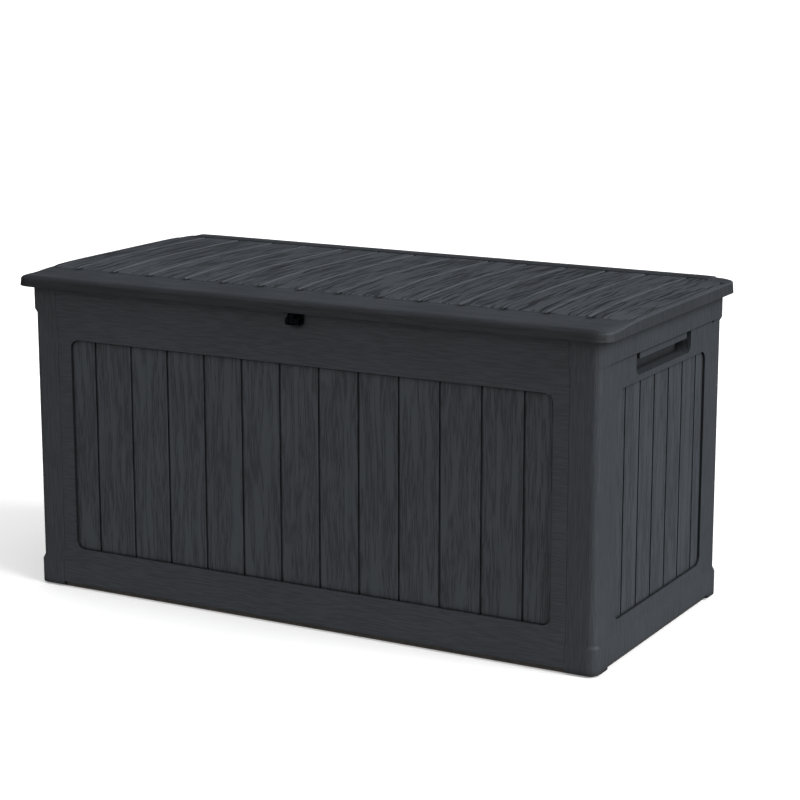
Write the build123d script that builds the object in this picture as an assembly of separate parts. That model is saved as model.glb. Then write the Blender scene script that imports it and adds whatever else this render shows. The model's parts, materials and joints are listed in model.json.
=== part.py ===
"""A resin deck storage box with a hinged lid, as separate moulded and steel pieces.

Millimetres, Z up, the front faces -Y. Pieces are modelled with the walls centred on the origin in
plan, and are moved back by SHIFT_Y when they are written, so that the origin lies under the middle
of the whole box, lid overhangs included. z = 0 is the ground.
"""
from build123d import *
from math import atan2, degrees
import os

# Walls, measured over their outer faces
WALL_WIDTH = 1200.0
WALL_DEPTH = 573.0
RIM_Z = 610.0  # top edge of the walls
CORNER_RADIUS = 15.0
SKIN = 4.0  # moulded wall
PANEL_THICKNESS = 14.0  # skin with the ribs behind it
RIB = 2.5
SEAM_X = WALL_WIDTH / 2 - 56.0  # where the front and back panels meet the side panels
SEAM_GAP = 0.5

# Plinth, collar and feet
PLINTH_PROUD = 4.6
PLINTH_TOP_Z = 49.6
PLINTH_CHAMFER_Z = 58.5
COLLAR_PROUD = 4.5
COLLAR_Z = RIM_Z - 55.7
COLLAR_CHAMFER_Z = COLLAR_Z - 8.0
SKIRT_Z = 10.0  # lower edge of the plinth between the feet
FOOT_Z = 3.5
SIDE_FOOT_Y = WALL_DEPTH / 2 - 47.5  # a foot runs from here to its corner along each side

# Recessed fields of planks in the walls
RECESS_DEPTH = 4.5
RECESS_LOW_Z = 81.5
RECESS_TOP_Z = RIM_Z - 110.0
RECESS_RADIUS = 17.0
FRONT_RECESS_HALF = SEAM_X - 30.0
SIDE_RECESS_HALF = WALL_DEPTH / 2 - 83.5
GROOVE_WIDTH = 4.5
GROOVE_DEPTH = 2.2
FRONT_GROOVES = 12
FRONT_END_PLANK = 55.85  # part of a plank at either end of the field
FRONT_PLANK = 2 * (FRONT_RECESS_HALF - FRONT_END_PLANK) / (FRONT_GROOVES - 1)
SIDE_GROOVES = 6
SIDE_END_PLANK = 38.25
SIDE_PLANK = 2 * (SIDE_RECESS_HALF - SIDE_END_PLANK) / (SIDE_GROOVES - 1)
RIB_ROWS = 4

# Tongues with which the front and back panels lap behind the side panels
TONGUE_LENGTH = 12.0
TONGUE_THICKNESS = 4.0
LAP_CLEARANCE = 0.2
TONGUE_TOP_Z = RIM_Z - 10.0

# Hand grips in the side panels
GRIP_HALF_WIDTH = 128.0
GRIP_LOW_Z = RIM_Z - 99.0
GRIP_TOP_Z = RIM_Z - 59.0
GRIP_RADIUS = 14.0
GRIP_DEPTH = 30.0
GRIP_WALL = 3.5
LIP_HALF_WIDTH = 110.0
LIP_LOW_Z = RIM_Z - 71.0
LIP_THICKNESS = 6.0
LIP_SET_BACK = 1.5
LEDGE_HALF_WIDTH = WALL_DEPTH / 2 - 49.5
LEDGE_Z = GRIP_TOP_Z
LEDGE_HEIGHT = 2.5

# Base pan
PAN_CLEARANCE = 0.2
PAN_WALL = 4.0
PAN_TOP_Z = 34.0
PAN_FLOOR = 4.0
PAN_CORNER_RADIUS = 8.0
PAN_RIB = 3.0
PAN_RIB_LOW_Z = 6.0
PAN_RIBS_ACROSS = 10
PAN_RIBS_ALONG = 4

# Lid
LID_FRONT_COVER = 15.5  # padlock hole to the front of the lid
LID_REAR_COVER = 5.7  # hinge pin to the rear of the lid
LID_SIDE_OVERHANG = 31.0
LID_LOW_Z = RIM_Z - 8.6
LID_EDGE_Z = LID_LOW_Z + 21.5  # top of the upright edge
LID_FLARE = 1.8  # how far the edge leans out at its foot
LID_CORNER_RADIUS = 28.0
LID_SKIRT = 3.0
LID_TOP = 3.5
LID_CREST_Z = LID_EDGE_Z + 7.6
LID_CREST_Y = 20.0
LID_CROWN_FRONT = 7.6  # fall from the crest to the front end of the planks
LID_CROWN_REAR = 4.5
LID_SIDE_FALL = 6.5
LID_SIDE_SLOPE = 84.0  # the lid is level across its width except for this at either side
LID_BAND_FALL = 1.0  # fall of the smooth front band towards its nose
LID_NOSE = 24.0  # depth of the rounded front edge
LID_NOSE_FALL = 6.5
LID_TAIL = 10.0  # depth of the sloping rear edge
LID_TAIL_FALL = 3.5
PLANK_RISE = 2.5
FIELD_FRONT = 105.0  # front edge of the lid to the plank field
FIELD_REAR = 62.0
FIELD_SIDE = 6.0
FIELD_CORNER = 14.0
STRIP_SIDE = 38.0  # side of the lid to the end of the rear strip
LID_GROOVES = 14
LID_END_PLANK = 77.7
LID_GROOVE_WIDTH = 4.0
LID_GROOVE_DEPTH = 2.0
STRIP_DEPTH = 42.0
STRIP_RISE = 4.0
STRIP_GAP = 2.0  # channel between the planks and the strip

# Lid liner, stiffeners and bumpers
LINER_SIDE_GAP = 8.0  # between the liner and the ribs of the walls
LINER_LOW_Z = RIM_Z - 5.0
LINER_SKIN = 3.0
LINER_EDGE_Z = RIM_Z + 2.0
LINER_END_BOSS = WALL_WIDTH / 2 - 80.0
LINER_BOSS_X = (-LINER_END_BOSS, -175.0, 175.0, LINER_END_BOSS)
LINER_EDGE_BOSS = WALL_DEPTH / 2 - 71.5
LINER_BOSS_Y = (-LINER_EDGE_BOSS, LINER_EDGE_BOSS)
BOSS_RADIUS = 8.0
STIFFENER_LENGTH = WALL_WIDTH - 80.0
STIFFENER_DEPTH = 25.0
STIFFENER_HEIGHT = 12.0
STIFFENER_WALL = 1.5
STIFFENER_RADIUS = 2.0
STIFFENER_Y = 120.0
BUMPER_RADIUS = 6.0
BUMPER_HEIGHT = 5.5
BUMPER_GAP = 0.5
BUMPER_ROUNDING = 1.5
FRONT_BUMPER_X = SEAM_X - 144.0
REAR_BUMPER_X = SEAM_X - 324.0

# Hinges
OUTER_HINGE_X = SEAM_X - 104.0
HINGE_XS = (-OUTER_HINGE_X, 0.0, OUTER_HINGE_X)
HINGE_OFFSET = 5.6  # pin behind the collar
HINGE_Z = RIM_Z - 6.0
PIN_RADIUS = 3.0
PIN_CLEARANCE = 0.05
PIN_END = 0.8  # how far the pin stands out of its ears
KNUCKLE_RADIUS = 5.0
KNUCKLE_HALF = 10.0
EAR_RADIUS = 5.5
EAR_THICKNESS = 6.0
EAR_CLEARANCE = 0.6
BRACKET_HALF = 30.0
BRACKET_THICKNESS = 3.0
BRACKET_LOW_Z = RIM_Z - 44.0
BRACKET_TOP_Z = RIM_Z - 14.0
BRACKET_SCREW_X = 24.0
BRACKET_SCREW_INSET = 7.0
LEAF_THICKNESS = 3.0
LEAF_Z = RIM_Z + 4.0
LEAF_HALF = 30.0
LEAF_DEPTH = 25.0
LEAF_SCREW_X = 20.0
ARM_THICKNESS = 3.6
ARM_SET_BACK = 0.6  # rear face of the arm behind the pin's axis
NOTCH_HALF = 20.5
NOTCH_Z = RIM_Z + 2.0

# Padlock loops
LUG_RADIUS = 7.5
LUG_THICKNESS = 8.0
LUG_CLEARANCE = 1.0
LUG_Z = RIM_Z - 26.5
LUG_STAND_OFF = 11.0  # hole to the face of the collar
PADLOCK_HOLE_RADIUS = 4.5
LOCK_PLATE_WIDTH = 34.0
LOCK_PLATE_LOW_Z = LUG_Z - 8.0
LOCK_PLATE_TOP_Z = LUG_Z + 16.5
LOCK_PLATE_THICKNESS = 2.5
LOCK_PLATE_RADIUS = 8.0
LOCK_SCREW_Z = LUG_Z + 11.5
LOCK_SCREW_X = 9.5
LUG_FLANGE_HALF = 20.0
LUG_FLANGE_FRONT = 9.0
LUG_FLANGE_REAR = 9.0
LUG_FLANGE_THICKNESS = 3.0
LUG_FLANGE_Z = RIM_Z + 2.0
LUG_SCREW_X = 13.0

# Screws
SCREW_RADIUS = 2.0
SCREW_HEAD_RADIUS = 4.0
SCREW_HEAD = 2.4
SCREW_CLEARANCE = 0.1
SCREW_BITE = 4.0  # thread length in the piece that takes the screw
SCREW_BOTTOM = 0.5  # spare depth of a blind hole
SEAM_SCREW_ZS = (120.0, RIM_Z - 270.0, RIM_Z - 50.0)
PAN_SCREW_Z = 20.0
PAN_SCREW_END = SEAM_X - 84.0
PAN_SCREW_FRONT_XS = (-PAN_SCREW_END, -PAN_SCREW_END / 2, 0.0, PAN_SCREW_END / 2, PAN_SCREW_END)
PAN_SCREW_SIDE = WALL_DEPTH / 2 - 136.5
PAN_SCREW_SIDE_XS = (-PAN_SCREW_SIDE, PAN_SCREW_SIDE)

# Places that follow from the sizes above
LID_FRONT_OVERHANG = COLLAR_PROUD + LUG_STAND_OFF + LID_FRONT_COVER
LID_REAR_OVERHANG = COLLAR_PROUD + HINGE_OFFSET + LID_REAR_COVER
SHIFT_Y = (LID_FRONT_OVERHANG - LID_REAR_OVERHANG) / 2
FRONT_Y = -WALL_DEPTH / 2
BACK_Y = WALL_DEPTH / 2
SIDE_X = WALL_WIDTH / 2
LID_FRONT_Y = FRONT_Y - LID_FRONT_OVERHANG
LID_REAR_Y = BACK_Y + LID_REAR_OVERHANG
LID_SIDE_X = SIDE_X + LID_SIDE_OVERHANG
LID_SIDE_FLAT = LID_SIDE_X - LID_SIDE_SLOPE
LID_PLANK = 2 * (LID_SIDE_X - FIELD_SIDE - LID_END_PLANK) / (LID_GROOVES - 1)
HINGE_Y = BACK_Y + COLLAR_PROUD + HINGE_OFFSET
SHELF_Z = PAN_TOP_Z + PAN_CLEARANCE
FIELD_FRONT_Y = LID_FRONT_Y + FIELD_FRONT
FIELD_REAR_Y = LID_REAR_Y - FIELD_REAR
TONGUE_MIDDLE = SEAM_X + TONGUE_LENGTH / 2
MARGIN = 5.0  # how far a cutting block runs past what it cuts
OVERLAP = 1.0  # how far joined blocks run into each other, and spare ends of cuts


def block(x_span, y_span, z_span):
    """A box between the given limits on each axis."""
    sizes = [high - low for low, high in (x_span, y_span, z_span)]
    middle = [(low + high) / 2 for low, high in (x_span, y_span, z_span)]
    return Pos(*middle) * Box(*sizes)


def rod(start, direction, radius, length):
    """A cylinder from a point along a direction."""
    return extrude(Plane(start, z_dir=direction) * Circle(radius), length)


def wall_plane(y, z):
    """An upright plane across the box that faces the front."""
    return Plane((0, y, z), x_dir=(1, 0, 0), z_dir=(0, -1, 0))


def joined(shapes):
    """One shape from many."""
    first, *rest = list(shapes)
    return first.fuse(*rest) if rest else first


def on_wall(side, shape):
    """Places a shape made against a wall whose outer face is y = 0 and whose inside is +y."""
    places = {
        "front": Pos(0, FRONT_Y, 0),
        "back": Pos(0, BACK_Y, 0) * Rot(0, 0, 180),
        "right": Pos(SIDE_X, 0, 0) * Rot(0, 0, 90),
        "left": Pos(-SIDE_X, 0, 0) * Rot(0, 0, -90),
    }
    return places[side] * shape


# Walls ------------------------------------------------------------------------------------------


def wall_outline(proud, z):
    """The outline of the walls at a height, grown outwards by proud."""
    shape = RectangleRounded(WALL_WIDTH + 2 * proud, WALL_DEPTH + 2 * proud, CORNER_RADIUS + proud)
    return Pos(0, 0, z) * shape


def wall_envelope():
    """The solid that the four walls are cut from, with its plinth and its collar."""
    plinth = extrude(wall_outline(PLINTH_PROUD, FOOT_Z), PLINTH_TOP_Z - FOOT_Z)
    plinth_chamfer = loft(
        [wall_outline(PLINTH_PROUD, PLINTH_TOP_Z).face(), wall_outline(0, PLINTH_CHAMFER_Z).face()],
        ruled=True,
    )
    wall = extrude(wall_outline(0, PLINTH_CHAMFER_Z), COLLAR_CHAMFER_Z - PLINTH_CHAMFER_Z)
    collar_chamfer = loft(
        [wall_outline(0, COLLAR_CHAMFER_Z).face(), wall_outline(COLLAR_PROUD, COLLAR_Z).face()],
        ruled=True,
    )
    collar = extrude(wall_outline(COLLAR_PROUD, COLLAR_Z), RIM_Z - COLLAR_Z)
    return joined([plinth, plinth_chamfer, wall, collar_chamfer, collar])


def groove_places(count, pitch):
    """Middles of the grooves, set out evenly about the middle of a wall."""
    return [(i - (count - 1) / 2) * pitch for i in range(count)]


def plank_field(half_width, grooves):
    """The recess in the face of a wall and the grooves in its floor."""
    height = RECESS_TOP_Z - RECESS_LOW_Z
    middle_z = (RECESS_TOP_Z + RECESS_LOW_Z) / 2
    outline = RectangleRounded(2 * half_width, height, RECESS_RADIUS)
    recess = extrude(wall_plane(RECESS_DEPTH, middle_z) * outline, RECESS_DEPTH + MARGIN)
    cuts = [
        block(
            (x - GROOVE_WIDTH / 2, x + GROOVE_WIDTH / 2),
            (0, RECESS_DEPTH + GROOVE_DEPTH),
            (RECESS_LOW_Z, RECESS_TOP_Z),
        )
        for x in grooves
    ]
    return joined([recess, *cuts])


def rib_pockets(half_field, grooves, half_wall):
    """The hollows between the ribs on the inside of a wall."""
    field_edge = half_field + SKIN
    columns = [-field_edge, *grooves, field_edge]
    row_step = (RECESS_TOP_Z - RECESS_LOW_Z + 2 * SKIN) / RIB_ROWS
    rows = [RECESS_LOW_Z - SKIN + i * row_step for i in range(RIB_ROWS + 1)]
    field_floor = RECESS_DEPTH + SKIN
    cells = []
    for left, right in zip(columns, columns[1:]):
        span = (left + RIB / 2, right - RIB / 2)
        for low, high in zip(rows, rows[1:]):
            cells.append((span, (low + RIB / 2, high - RIB / 2), field_floor))
        cells.append((span, (rows[-1] + RIB / 2, RIM_Z - SKIN), SKIN))
        cells.append((span, (SHELF_Z + SKIN - RIB / 2, rows[0] - RIB / 2), SKIN))
    for low, high in zip([SHELF_Z + SKIN - RIB, *rows], [*rows[:-1], RIM_Z - SKIN]):
        for side in (-1, 1):
            ends = sorted((side * (field_edge + RIB / 2), side * half_wall))
            cells.append((tuple(ends), (low + RIB / 2, high - RIB / 2), SKIN))
    return joined(
        block(x_span, (floor, PANEL_THICKNESS + MARGIN), z_span) for x_span, z_span, floor in cells
    )


def screw_hole(x, y, z, length):
    """A hole square to a wall, from its inner side at y outwards."""
    return rod((x, y, z), (0, -1, 0), SCREW_RADIUS + SCREW_CLEARANCE, length)


def long_panel(side):
    """The front or the back panel, with the tongues at its ends."""
    half = SEAM_X - SEAM_GAP / 2
    grooves = groove_places(FRONT_GROOVES, FRONT_PLANK)
    inner = WALL_DEPTH / 2 - PANEL_THICKNESS
    y_span = (-inner - PANEL_THICKNESS - MARGIN, -inner)
    panel = wall_envelope() & block((-half, half), y_span, (SKIRT_Z, RIM_Z))
    panel = Pos(0, BACK_Y, 0) * panel
    panel -= block((-SIDE_X, SIDE_X), (SKIN, PANEL_THICKNESS + MARGIN), (0, SHELF_Z))
    panel -= plank_field(FRONT_RECESS_HALF, grooves)
    panel -= rib_pockets(FRONT_RECESS_HALF, grooves, half - SKIN)
    tongue_face = SKIN + LAP_CLEARANCE
    for end in (-1, 1):
        x_span = tuple(sorted((end * (half - OVERLAP), end * (half + TONGUE_LENGTH))))
        y_span = (tongue_face, tongue_face + TONGUE_THICKNESS)
        panel += block(x_span, y_span, (RECESS_LOW_Z, TONGUE_TOP_Z))
        for z in SEAM_SCREW_ZS:
            panel -= screw_hole(end * TONGUE_MIDDLE, PANEL_THICKNESS, z, PANEL_THICKNESS)
    for x in PAN_SCREW_FRONT_XS:
        panel -= screw_hole(x, SKIN, PAN_SCREW_Z, SCREW_BITE)
    panel = on_wall(side, panel)
    if side == "back":
        return panel - joined(bracket_screw_holes())
    return panel - joined(lock_screw_holes())


def hand_grip_cuts():
    """The finger pocket of a hand grip, which runs up behind the lip, and the ledge over it."""
    height = GRIP_TOP_Z - GRIP_LOW_Z
    middle_z = (GRIP_TOP_Z + GRIP_LOW_Z) / 2
    outline = RectangleRounded(2 * GRIP_HALF_WIDTH, height, GRIP_RADIUS)
    mouth = extrude(wall_plane(GRIP_DEPTH, middle_z) * outline, GRIP_DEPTH + MARGIN)
    mouth += block(
        (-GRIP_HALF_WIDTH, GRIP_HALF_WIDTH), (0, GRIP_DEPTH), (middle_z, GRIP_TOP_Z)
    )
    return mouth


def hand_grip_lip():
    """The bar that the fingers close round, hanging from the top of the pocket."""
    return block(
        (-LIP_HALF_WIDTH, LIP_HALF_WIDTH),
        (LIP_SET_BACK, LIP_SET_BACK + LIP_THICKNESS),
        (LIP_LOW_Z, GRIP_TOP_Z + OVERLAP),
    )


def hand_grip_pan():
    """The wall round the finger pocket, standing in from the side panel."""
    return block(
        (-GRIP_HALF_WIDTH - GRIP_WALL, GRIP_HALF_WIDTH + GRIP_WALL),
        (SKIN, GRIP_DEPTH + GRIP_WALL),
        (GRIP_LOW_Z - GRIP_WALL, GRIP_TOP_Z + GRIP_WALL),
    )


def side_panel(side):
    """A side panel, which wraps round both corners, with its hand grip and two feet."""
    half = WALL_DEPTH / 2
    grooves = groove_places(SIDE_GROOVES, SIDE_PLANK)
    low_x = SEAM_X + SEAM_GAP / 2
    high_x = SIDE_X + PLINTH_PROUD + MARGIN
    reach = half + PLINTH_PROUD + MARGIN
    panel = wall_envelope() & block((low_x, high_x), (-reach, reach), (FOOT_Z, RIM_Z))
    panel = Rot(0, 0, -90) * (Pos(-SIDE_X, 0, 0) * panel)
    inner = half - SKIN
    panel -= block((-inner, inner), (PANEL_THICKNESS, WALL_WIDTH), (0, RIM_Z + MARGIN))
    panel -= block((-inner, inner), (SKIN, WALL_WIDTH), (0, SHELF_Z))
    panel -= block((-SIDE_FOOT_Y, SIDE_FOOT_Y), (-PLINTH_PROUD - MARGIN, SKIN + MARGIN), (0, SKIRT_Z))
    panel -= plank_field(SIDE_RECESS_HALF, grooves)
    panel -= rib_pockets(SIDE_RECESS_HALF, grooves, inner - 2 * SKIN)
    panel += hand_grip_pan()
    panel -= hand_grip_cuts()
    panel += hand_grip_lip()
    ledge_z = (COLLAR_CHAMFER_Z, LEDGE_Z + LEDGE_HEIGHT)
    panel -= block((-LEDGE_HALF_WIDTH, LEDGE_HALF_WIDTH), (-COLLAR_PROUD - MARGIN, 0), ledge_z)
    for x in PAN_SCREW_SIDE_XS:
        panel -= screw_hole(x, SKIN, PAN_SCREW_Z, SCREW_BITE)
    panel = on_wall(side, panel)
    for wall in ("front", "back"):
        for end in (-1, 1):
            for z in SEAM_SCREW_ZS:
                panel -= on_wall(wall, screw_hole(end * TONGUE_MIDDLE, SKIN, z, SKIN - OVERLAP))
    return panel


def base_pan():
    """The floor with its down-turned edge inside the walls and the ribs that stiffen it."""
    width = WALL_WIDTH - 2 * (SKIN + PAN_CLEARANCE)
    depth = WALL_DEPTH - 2 * (SKIN + PAN_CLEARANCE)
    pan = extrude(RectangleRounded(width, depth, PAN_CORNER_RADIUS), PAN_TOP_Z)
    inner_radius = PAN_CORNER_RADIUS - PAN_WALL
    inner = RectangleRounded(width - 2 * PAN_WALL, depth - 2 * PAN_WALL, inner_radius)
    pan -= extrude(inner, PAN_TOP_Z - PAN_FLOOR)
    across = width / (PAN_RIBS_ACROSS + 1)
    along = depth / (PAN_RIBS_ALONG + 1)
    rib_x, rib_y = width / 2 - OVERLAP, depth / 2 - OVERLAP
    rib_z = (PAN_RIB_LOW_Z, PAN_TOP_Z - PAN_FLOOR + OVERLAP)
    ribs = []
    for i in range(1, PAN_RIBS_ACROSS + 1):
        x = i * across - width / 2
        ribs.append(block((x - PAN_RIB / 2, x + PAN_RIB / 2), (-rib_y, rib_y), rib_z))
    for i in range(1, PAN_RIBS_ALONG + 1):
        y = i * along - depth / 2
        ribs.append(block((-rib_x, rib_x), (y - PAN_RIB / 2, y + PAN_RIB / 2), rib_z))
    pan = joined([pan, *ribs])
    start = SKIN + PAN_CLEARANCE + PAN_WALL + OVERLAP
    for side, xs in pan_screw_places():
        holes = [on_wall(side, screw_hole(x, start, PAN_SCREW_Z, start)) for x in xs]
        pan -= joined(holes)
    return pan


# Screws -----------------------------------------------------------------------------------------


def screw(x, y, z, through):
    """A pan-head screw on the inner side of a wall, its head on y, pointing outwards."""
    head = rod((x, y, z), (0, 1, 0), SCREW_HEAD_RADIUS, SCREW_HEAD)
    shank = rod((x, y, z), (0, -1, 0), SCREW_RADIUS, through)
    return head + shank


def upright_screw(x, y, z, through):
    """A pan-head screw from below, its head under z, pointing up."""
    head = rod((x, y, z - SCREW_HEAD), (0, 0, 1), SCREW_HEAD_RADIUS, SCREW_HEAD)
    shank = rod((x, y, z), (0, 0, 1), SCREW_RADIUS, through)
    return head + shank


def upright_hole(x, y, z, length):
    """A hole straight up from z."""
    return rod((x, y, z), (0, 0, 1), SCREW_RADIUS + SCREW_CLEARANCE, length)


def pan_screw_places():
    """Each wall with the places of the screws that hold it to the base pan."""
    return [
        ("front", PAN_SCREW_FRONT_XS),
        ("back", PAN_SCREW_FRONT_XS),
        ("left", PAN_SCREW_SIDE_XS),
        ("right", PAN_SCREW_SIDE_XS),
    ]


def base_screws():
    """The screws through the edge of the base pan into the walls."""
    seat = SKIN + PAN_CLEARANCE + PAN_WALL
    through = PAN_WALL + PAN_CLEARANCE + SCREW_BITE - OVERLAP
    return [
        on_wall(side, screw(x, seat, PAN_SCREW_Z, through)) for side, xs in pan_screw_places() for x in xs
    ]


def corner_screws():
    """The screws through the tongues into the side panels."""
    seat = SKIN + LAP_CLEARANCE + TONGUE_THICKNESS
    through = TONGUE_THICKNESS + LAP_CLEARANCE + SKIN - 2 * OVERLAP
    return [
        on_wall(wall, screw(end * TONGUE_MIDDLE, seat, z, through))
        for wall in ("front", "back")
        for end in (-1, 1)
        for z in SEAM_SCREW_ZS
    ]


# Hinges -----------------------------------------------------------------------------------------


def bracket_screw_places():
    """Middles of the bracket screws, as x and z."""
    zs = (BRACKET_LOW_Z + BRACKET_SCREW_INSET, BRACKET_TOP_Z - BRACKET_SCREW_INSET)
    return [(x + side * BRACKET_SCREW_X, z) for x in HINGE_XS for side in (-1, 1) for z in zs]


def bracket_screw_holes():
    """The holes for them through the brackets and into the collar."""
    start = BACK_Y + COLLAR_PROUD + BRACKET_THICKNESS + OVERLAP
    length = BRACKET_THICKNESS + SCREW_BITE + 2 * OVERLAP
    return [
        rod((x, start, z), (0, -1, 0), SCREW_RADIUS + SCREW_CLEARANCE, length)
        for x, z in bracket_screw_places()
    ]


def bracket_screws():
    """The screws that hold the hinge brackets to the collar."""
    seat = BACK_Y + COLLAR_PROUD + BRACKET_THICKNESS
    return [
        rod((x, seat, z), (0, 1, 0), SCREW_HEAD_RADIUS, SCREW_HEAD)
        + rod((x, seat, z), (0, -1, 0), SCREW_RADIUS, BRACKET_THICKNESS + SCREW_BITE)
        for x, z in bracket_screw_places()
    ]


def hinge_bracket(x):
    """The fixed half of a hinge: a plate on the back of the collar with two ears for the pin."""
    face = BACK_Y + COLLAR_PROUD
    plate = block(
        (x - BRACKET_HALF, x + BRACKET_HALF),
        (face, face + BRACKET_THICKNESS),
        (BRACKET_LOW_Z, BRACKET_TOP_Z),
    )
    near = HINGE_Y - EAR_RADIUS
    corners = [
        (near, HINGE_Z),
        (near, BRACKET_LOW_Z + 2 * OVERLAP),
        (face + BRACKET_THICKNESS + OVERLAP, BRACKET_LOW_Z + 2 * OVERLAP),
        (HINGE_Y + EAR_RADIUS, HINGE_Z),
    ]
    ears = []
    for side in (-1, 1):
        inner = x + side * (KNUCKLE_HALF + EAR_CLEARANCE)
        outer = inner + side * EAR_THICKNESS
        plane = Plane((min(inner, outer), 0, 0), x_dir=(0, 1, 0), z_dir=(1, 0, 0))
        web = extrude(plane * make_face(Polyline(*corners, close=True)), EAR_THICKNESS)
        ears.append(web + rod((min(inner, outer), HINGE_Y, HINGE_Z), (1, 0, 0), EAR_RADIUS, EAR_THICKNESS))
    reach = KNUCKLE_HALF + EAR_CLEARANCE + EAR_THICKNESS + MARGIN
    hole = rod((x - reach, HINGE_Y, HINGE_Z), (1, 0, 0), PIN_RADIUS + PIN_CLEARANCE, 2 * reach)
    return joined([plate, *ears]) - hole - joined(bracket_screw_holes())


def hinge_pin(x):
    """A steel pin with bevelled ends."""
    half = KNUCKLE_HALF + EAR_CLEARANCE + EAR_THICKNESS + PIN_END
    shaft = rod((x - half, HINGE_Y, HINGE_Z), (1, 0, 0), PIN_RADIUS, 2 * half)
    return chamfer(shaft.edges().filter_by(GeomType.CIRCLE), PIN_END / 2)


def leaf_screw_places():
    """Middles of the screws that hold the hinge leaves to the lid, as x and y."""
    y = HINGE_Y - LEAF_DEPTH / 2 - OVERLAP
    return [(x + side * LEAF_SCREW_X, y) for x in HINGE_XS for side in (-1, 1)]


def leaf_screws():
    """The screws that hold the hinge leaves to the lid."""
    return [upright_screw(x, y, LEAF_Z, LEAF_THICKNESS + SCREW_BITE) for x, y in leaf_screw_places()]


def hinge_leaf(x):
    """The moving half of a hinge: a knuckle on the pin, an arm and a plate under the lid."""
    knuckle = rod((x - KNUCKLE_HALF, HINGE_Y, HINGE_Z), (1, 0, 0), KNUCKLE_RADIUS, 2 * KNUCKLE_HALF)
    arm_rear = HINGE_Y + ARM_SET_BACK
    arm = block(
        (x - KNUCKLE_HALF, x + KNUCKLE_HALF),
        (arm_rear - ARM_THICKNESS, arm_rear),
        (HINGE_Z, LEAF_Z + LEAF_THICKNESS),
    )
    plate = block(
        (x - LEAF_HALF, x + LEAF_HALF), (arm_rear - LEAF_DEPTH, arm_rear), (LEAF_Z, LEAF_Z + LEAF_THICKNESS)
    )
    hole = rod(
        (x - LEAF_HALF, HINGE_Y, HINGE_Z), (1, 0, 0), PIN_RADIUS + PIN_CLEARANCE, 2 * LEAF_HALF
    )
    length = LEAF_THICKNESS + 2 * OVERLAP
    screws = joined(upright_hole(sx, sy, LEAF_Z - OVERLAP, length) for sx, sy in leaf_screw_places())
    return joined([knuckle, arm, plate]) - hole - screws


# Lid --------------------------------------------------------------------------------------------


def crown_across(drop):
    """Everything under the crown of the lid as seen from the front, lowered by drop."""
    top = LID_CREST_Z - drop
    slope = LID_SIDE_FALL / (LID_SIDE_X - LID_SIDE_FLAT)
    reach = LID_SIDE_X + MARGIN
    edge_z = top - slope * (reach - LID_SIDE_FLAT)
    low = LID_LOW_Z - 2 * MARGIN
    corners = [
        (-reach, low),
        (reach, low),
        (reach, edge_z),
        (LID_SIDE_FLAT, top),
        (-LID_SIDE_FLAT, top),
        (-reach, edge_z),
    ]
    plane = Plane((0, LID_REAR_Y + MARGIN, 0), x_dir=(1, 0, 0), z_dir=(0, -1, 0))
    face = plane * make_face(Polyline(*corners, close=True))
    return extrude(face, LID_REAR_Y - LID_FRONT_Y + 2 * MARGIN)


def crown_along(drop):
    """Everything under the crown of the lid as seen from the side, lowered by drop."""
    top = LID_CREST_Z - drop
    front = (FIELD_FRONT_Y, top - LID_CROWN_FRONT + LID_BAND_FALL)
    rear = (LID_REAR_Y - LID_TAIL, top - LID_CROWN_REAR)
    nose_start = (LID_FRONT_Y + LID_NOSE, top - LID_CROWN_FRONT)
    nose_middle = (LID_FRONT_Y + LID_NOSE / 4, top - LID_CROWN_FRONT - LID_NOSE_FALL / 3)
    nose_end = (LID_FRONT_Y - OVERLAP, top - LID_CROWN_FRONT - LID_NOSE_FALL)
    tail = (LID_REAR_Y + OVERLAP, top - LID_CROWN_REAR - LID_TAIL_FALL)
    low = LID_LOW_Z - 2 * MARGIN
    edges = [
        ThreePointArc(nose_end, nose_middle, nose_start),
        Line(nose_start, front),
        ThreePointArc(front, (LID_CREST_Y, top), rear),
        Line(rear, tail),
        Line(tail, (LID_REAR_Y + OVERLAP, low)),
        Line((LID_REAR_Y + OVERLAP, low), (LID_FRONT_Y - OVERLAP, low)),
        Line((LID_FRONT_Y - OVERLAP, low), nose_end),
    ]
    plane = Plane((-LID_SIDE_X - MARGIN, 0, 0), x_dir=(0, 1, 0), z_dir=(1, 0, 0))
    return extrude(plane * make_face(Wire(edges)), 2 * (LID_SIDE_X + MARGIN))


def crown(drop):
    """Everything under the doubly crowned top of the lid, lowered by drop."""
    return crown_across(drop) & crown_along(drop)


def lid_block(inset):
    """The outline of the lid as an upright block, drawn in by inset, leaning in as it rises."""
    width = 2 * (LID_SIDE_X - inset)
    depth = LID_REAR_Y - LID_FRONT_Y - 2 * inset
    outline = Pos(0, (LID_FRONT_Y + LID_REAR_Y) / 2, LID_LOW_Z) * RectangleRounded(
        width, depth, LID_CORNER_RADIUS - inset
    )
    lean = degrees(atan2(LID_FLARE, LID_EDGE_Z - LID_LOW_Z))
    return extrude(outline, LID_CREST_Z + MARGIN - LID_LOW_Z, taper=lean)


def plank_field_block():
    """An upright block over the field of planks, with its front corners cut off."""
    half = LID_SIDE_X - FIELD_SIDE
    cut = FIELD_CORNER
    corners = [
        (-half + cut, FIELD_FRONT_Y),
        (half - cut, FIELD_FRONT_Y),
        (half, FIELD_FRONT_Y + cut),
        (half, FIELD_REAR_Y),
        (-half, FIELD_REAR_Y),
        (-half, FIELD_FRONT_Y + cut),
    ]
    low = LID_LOW_Z
    face = Plane((0, 0, low)) * make_face(Polyline(*corners, close=True))
    return extrude(face, LID_CREST_Z + 2 * MARGIN - low)


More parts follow.
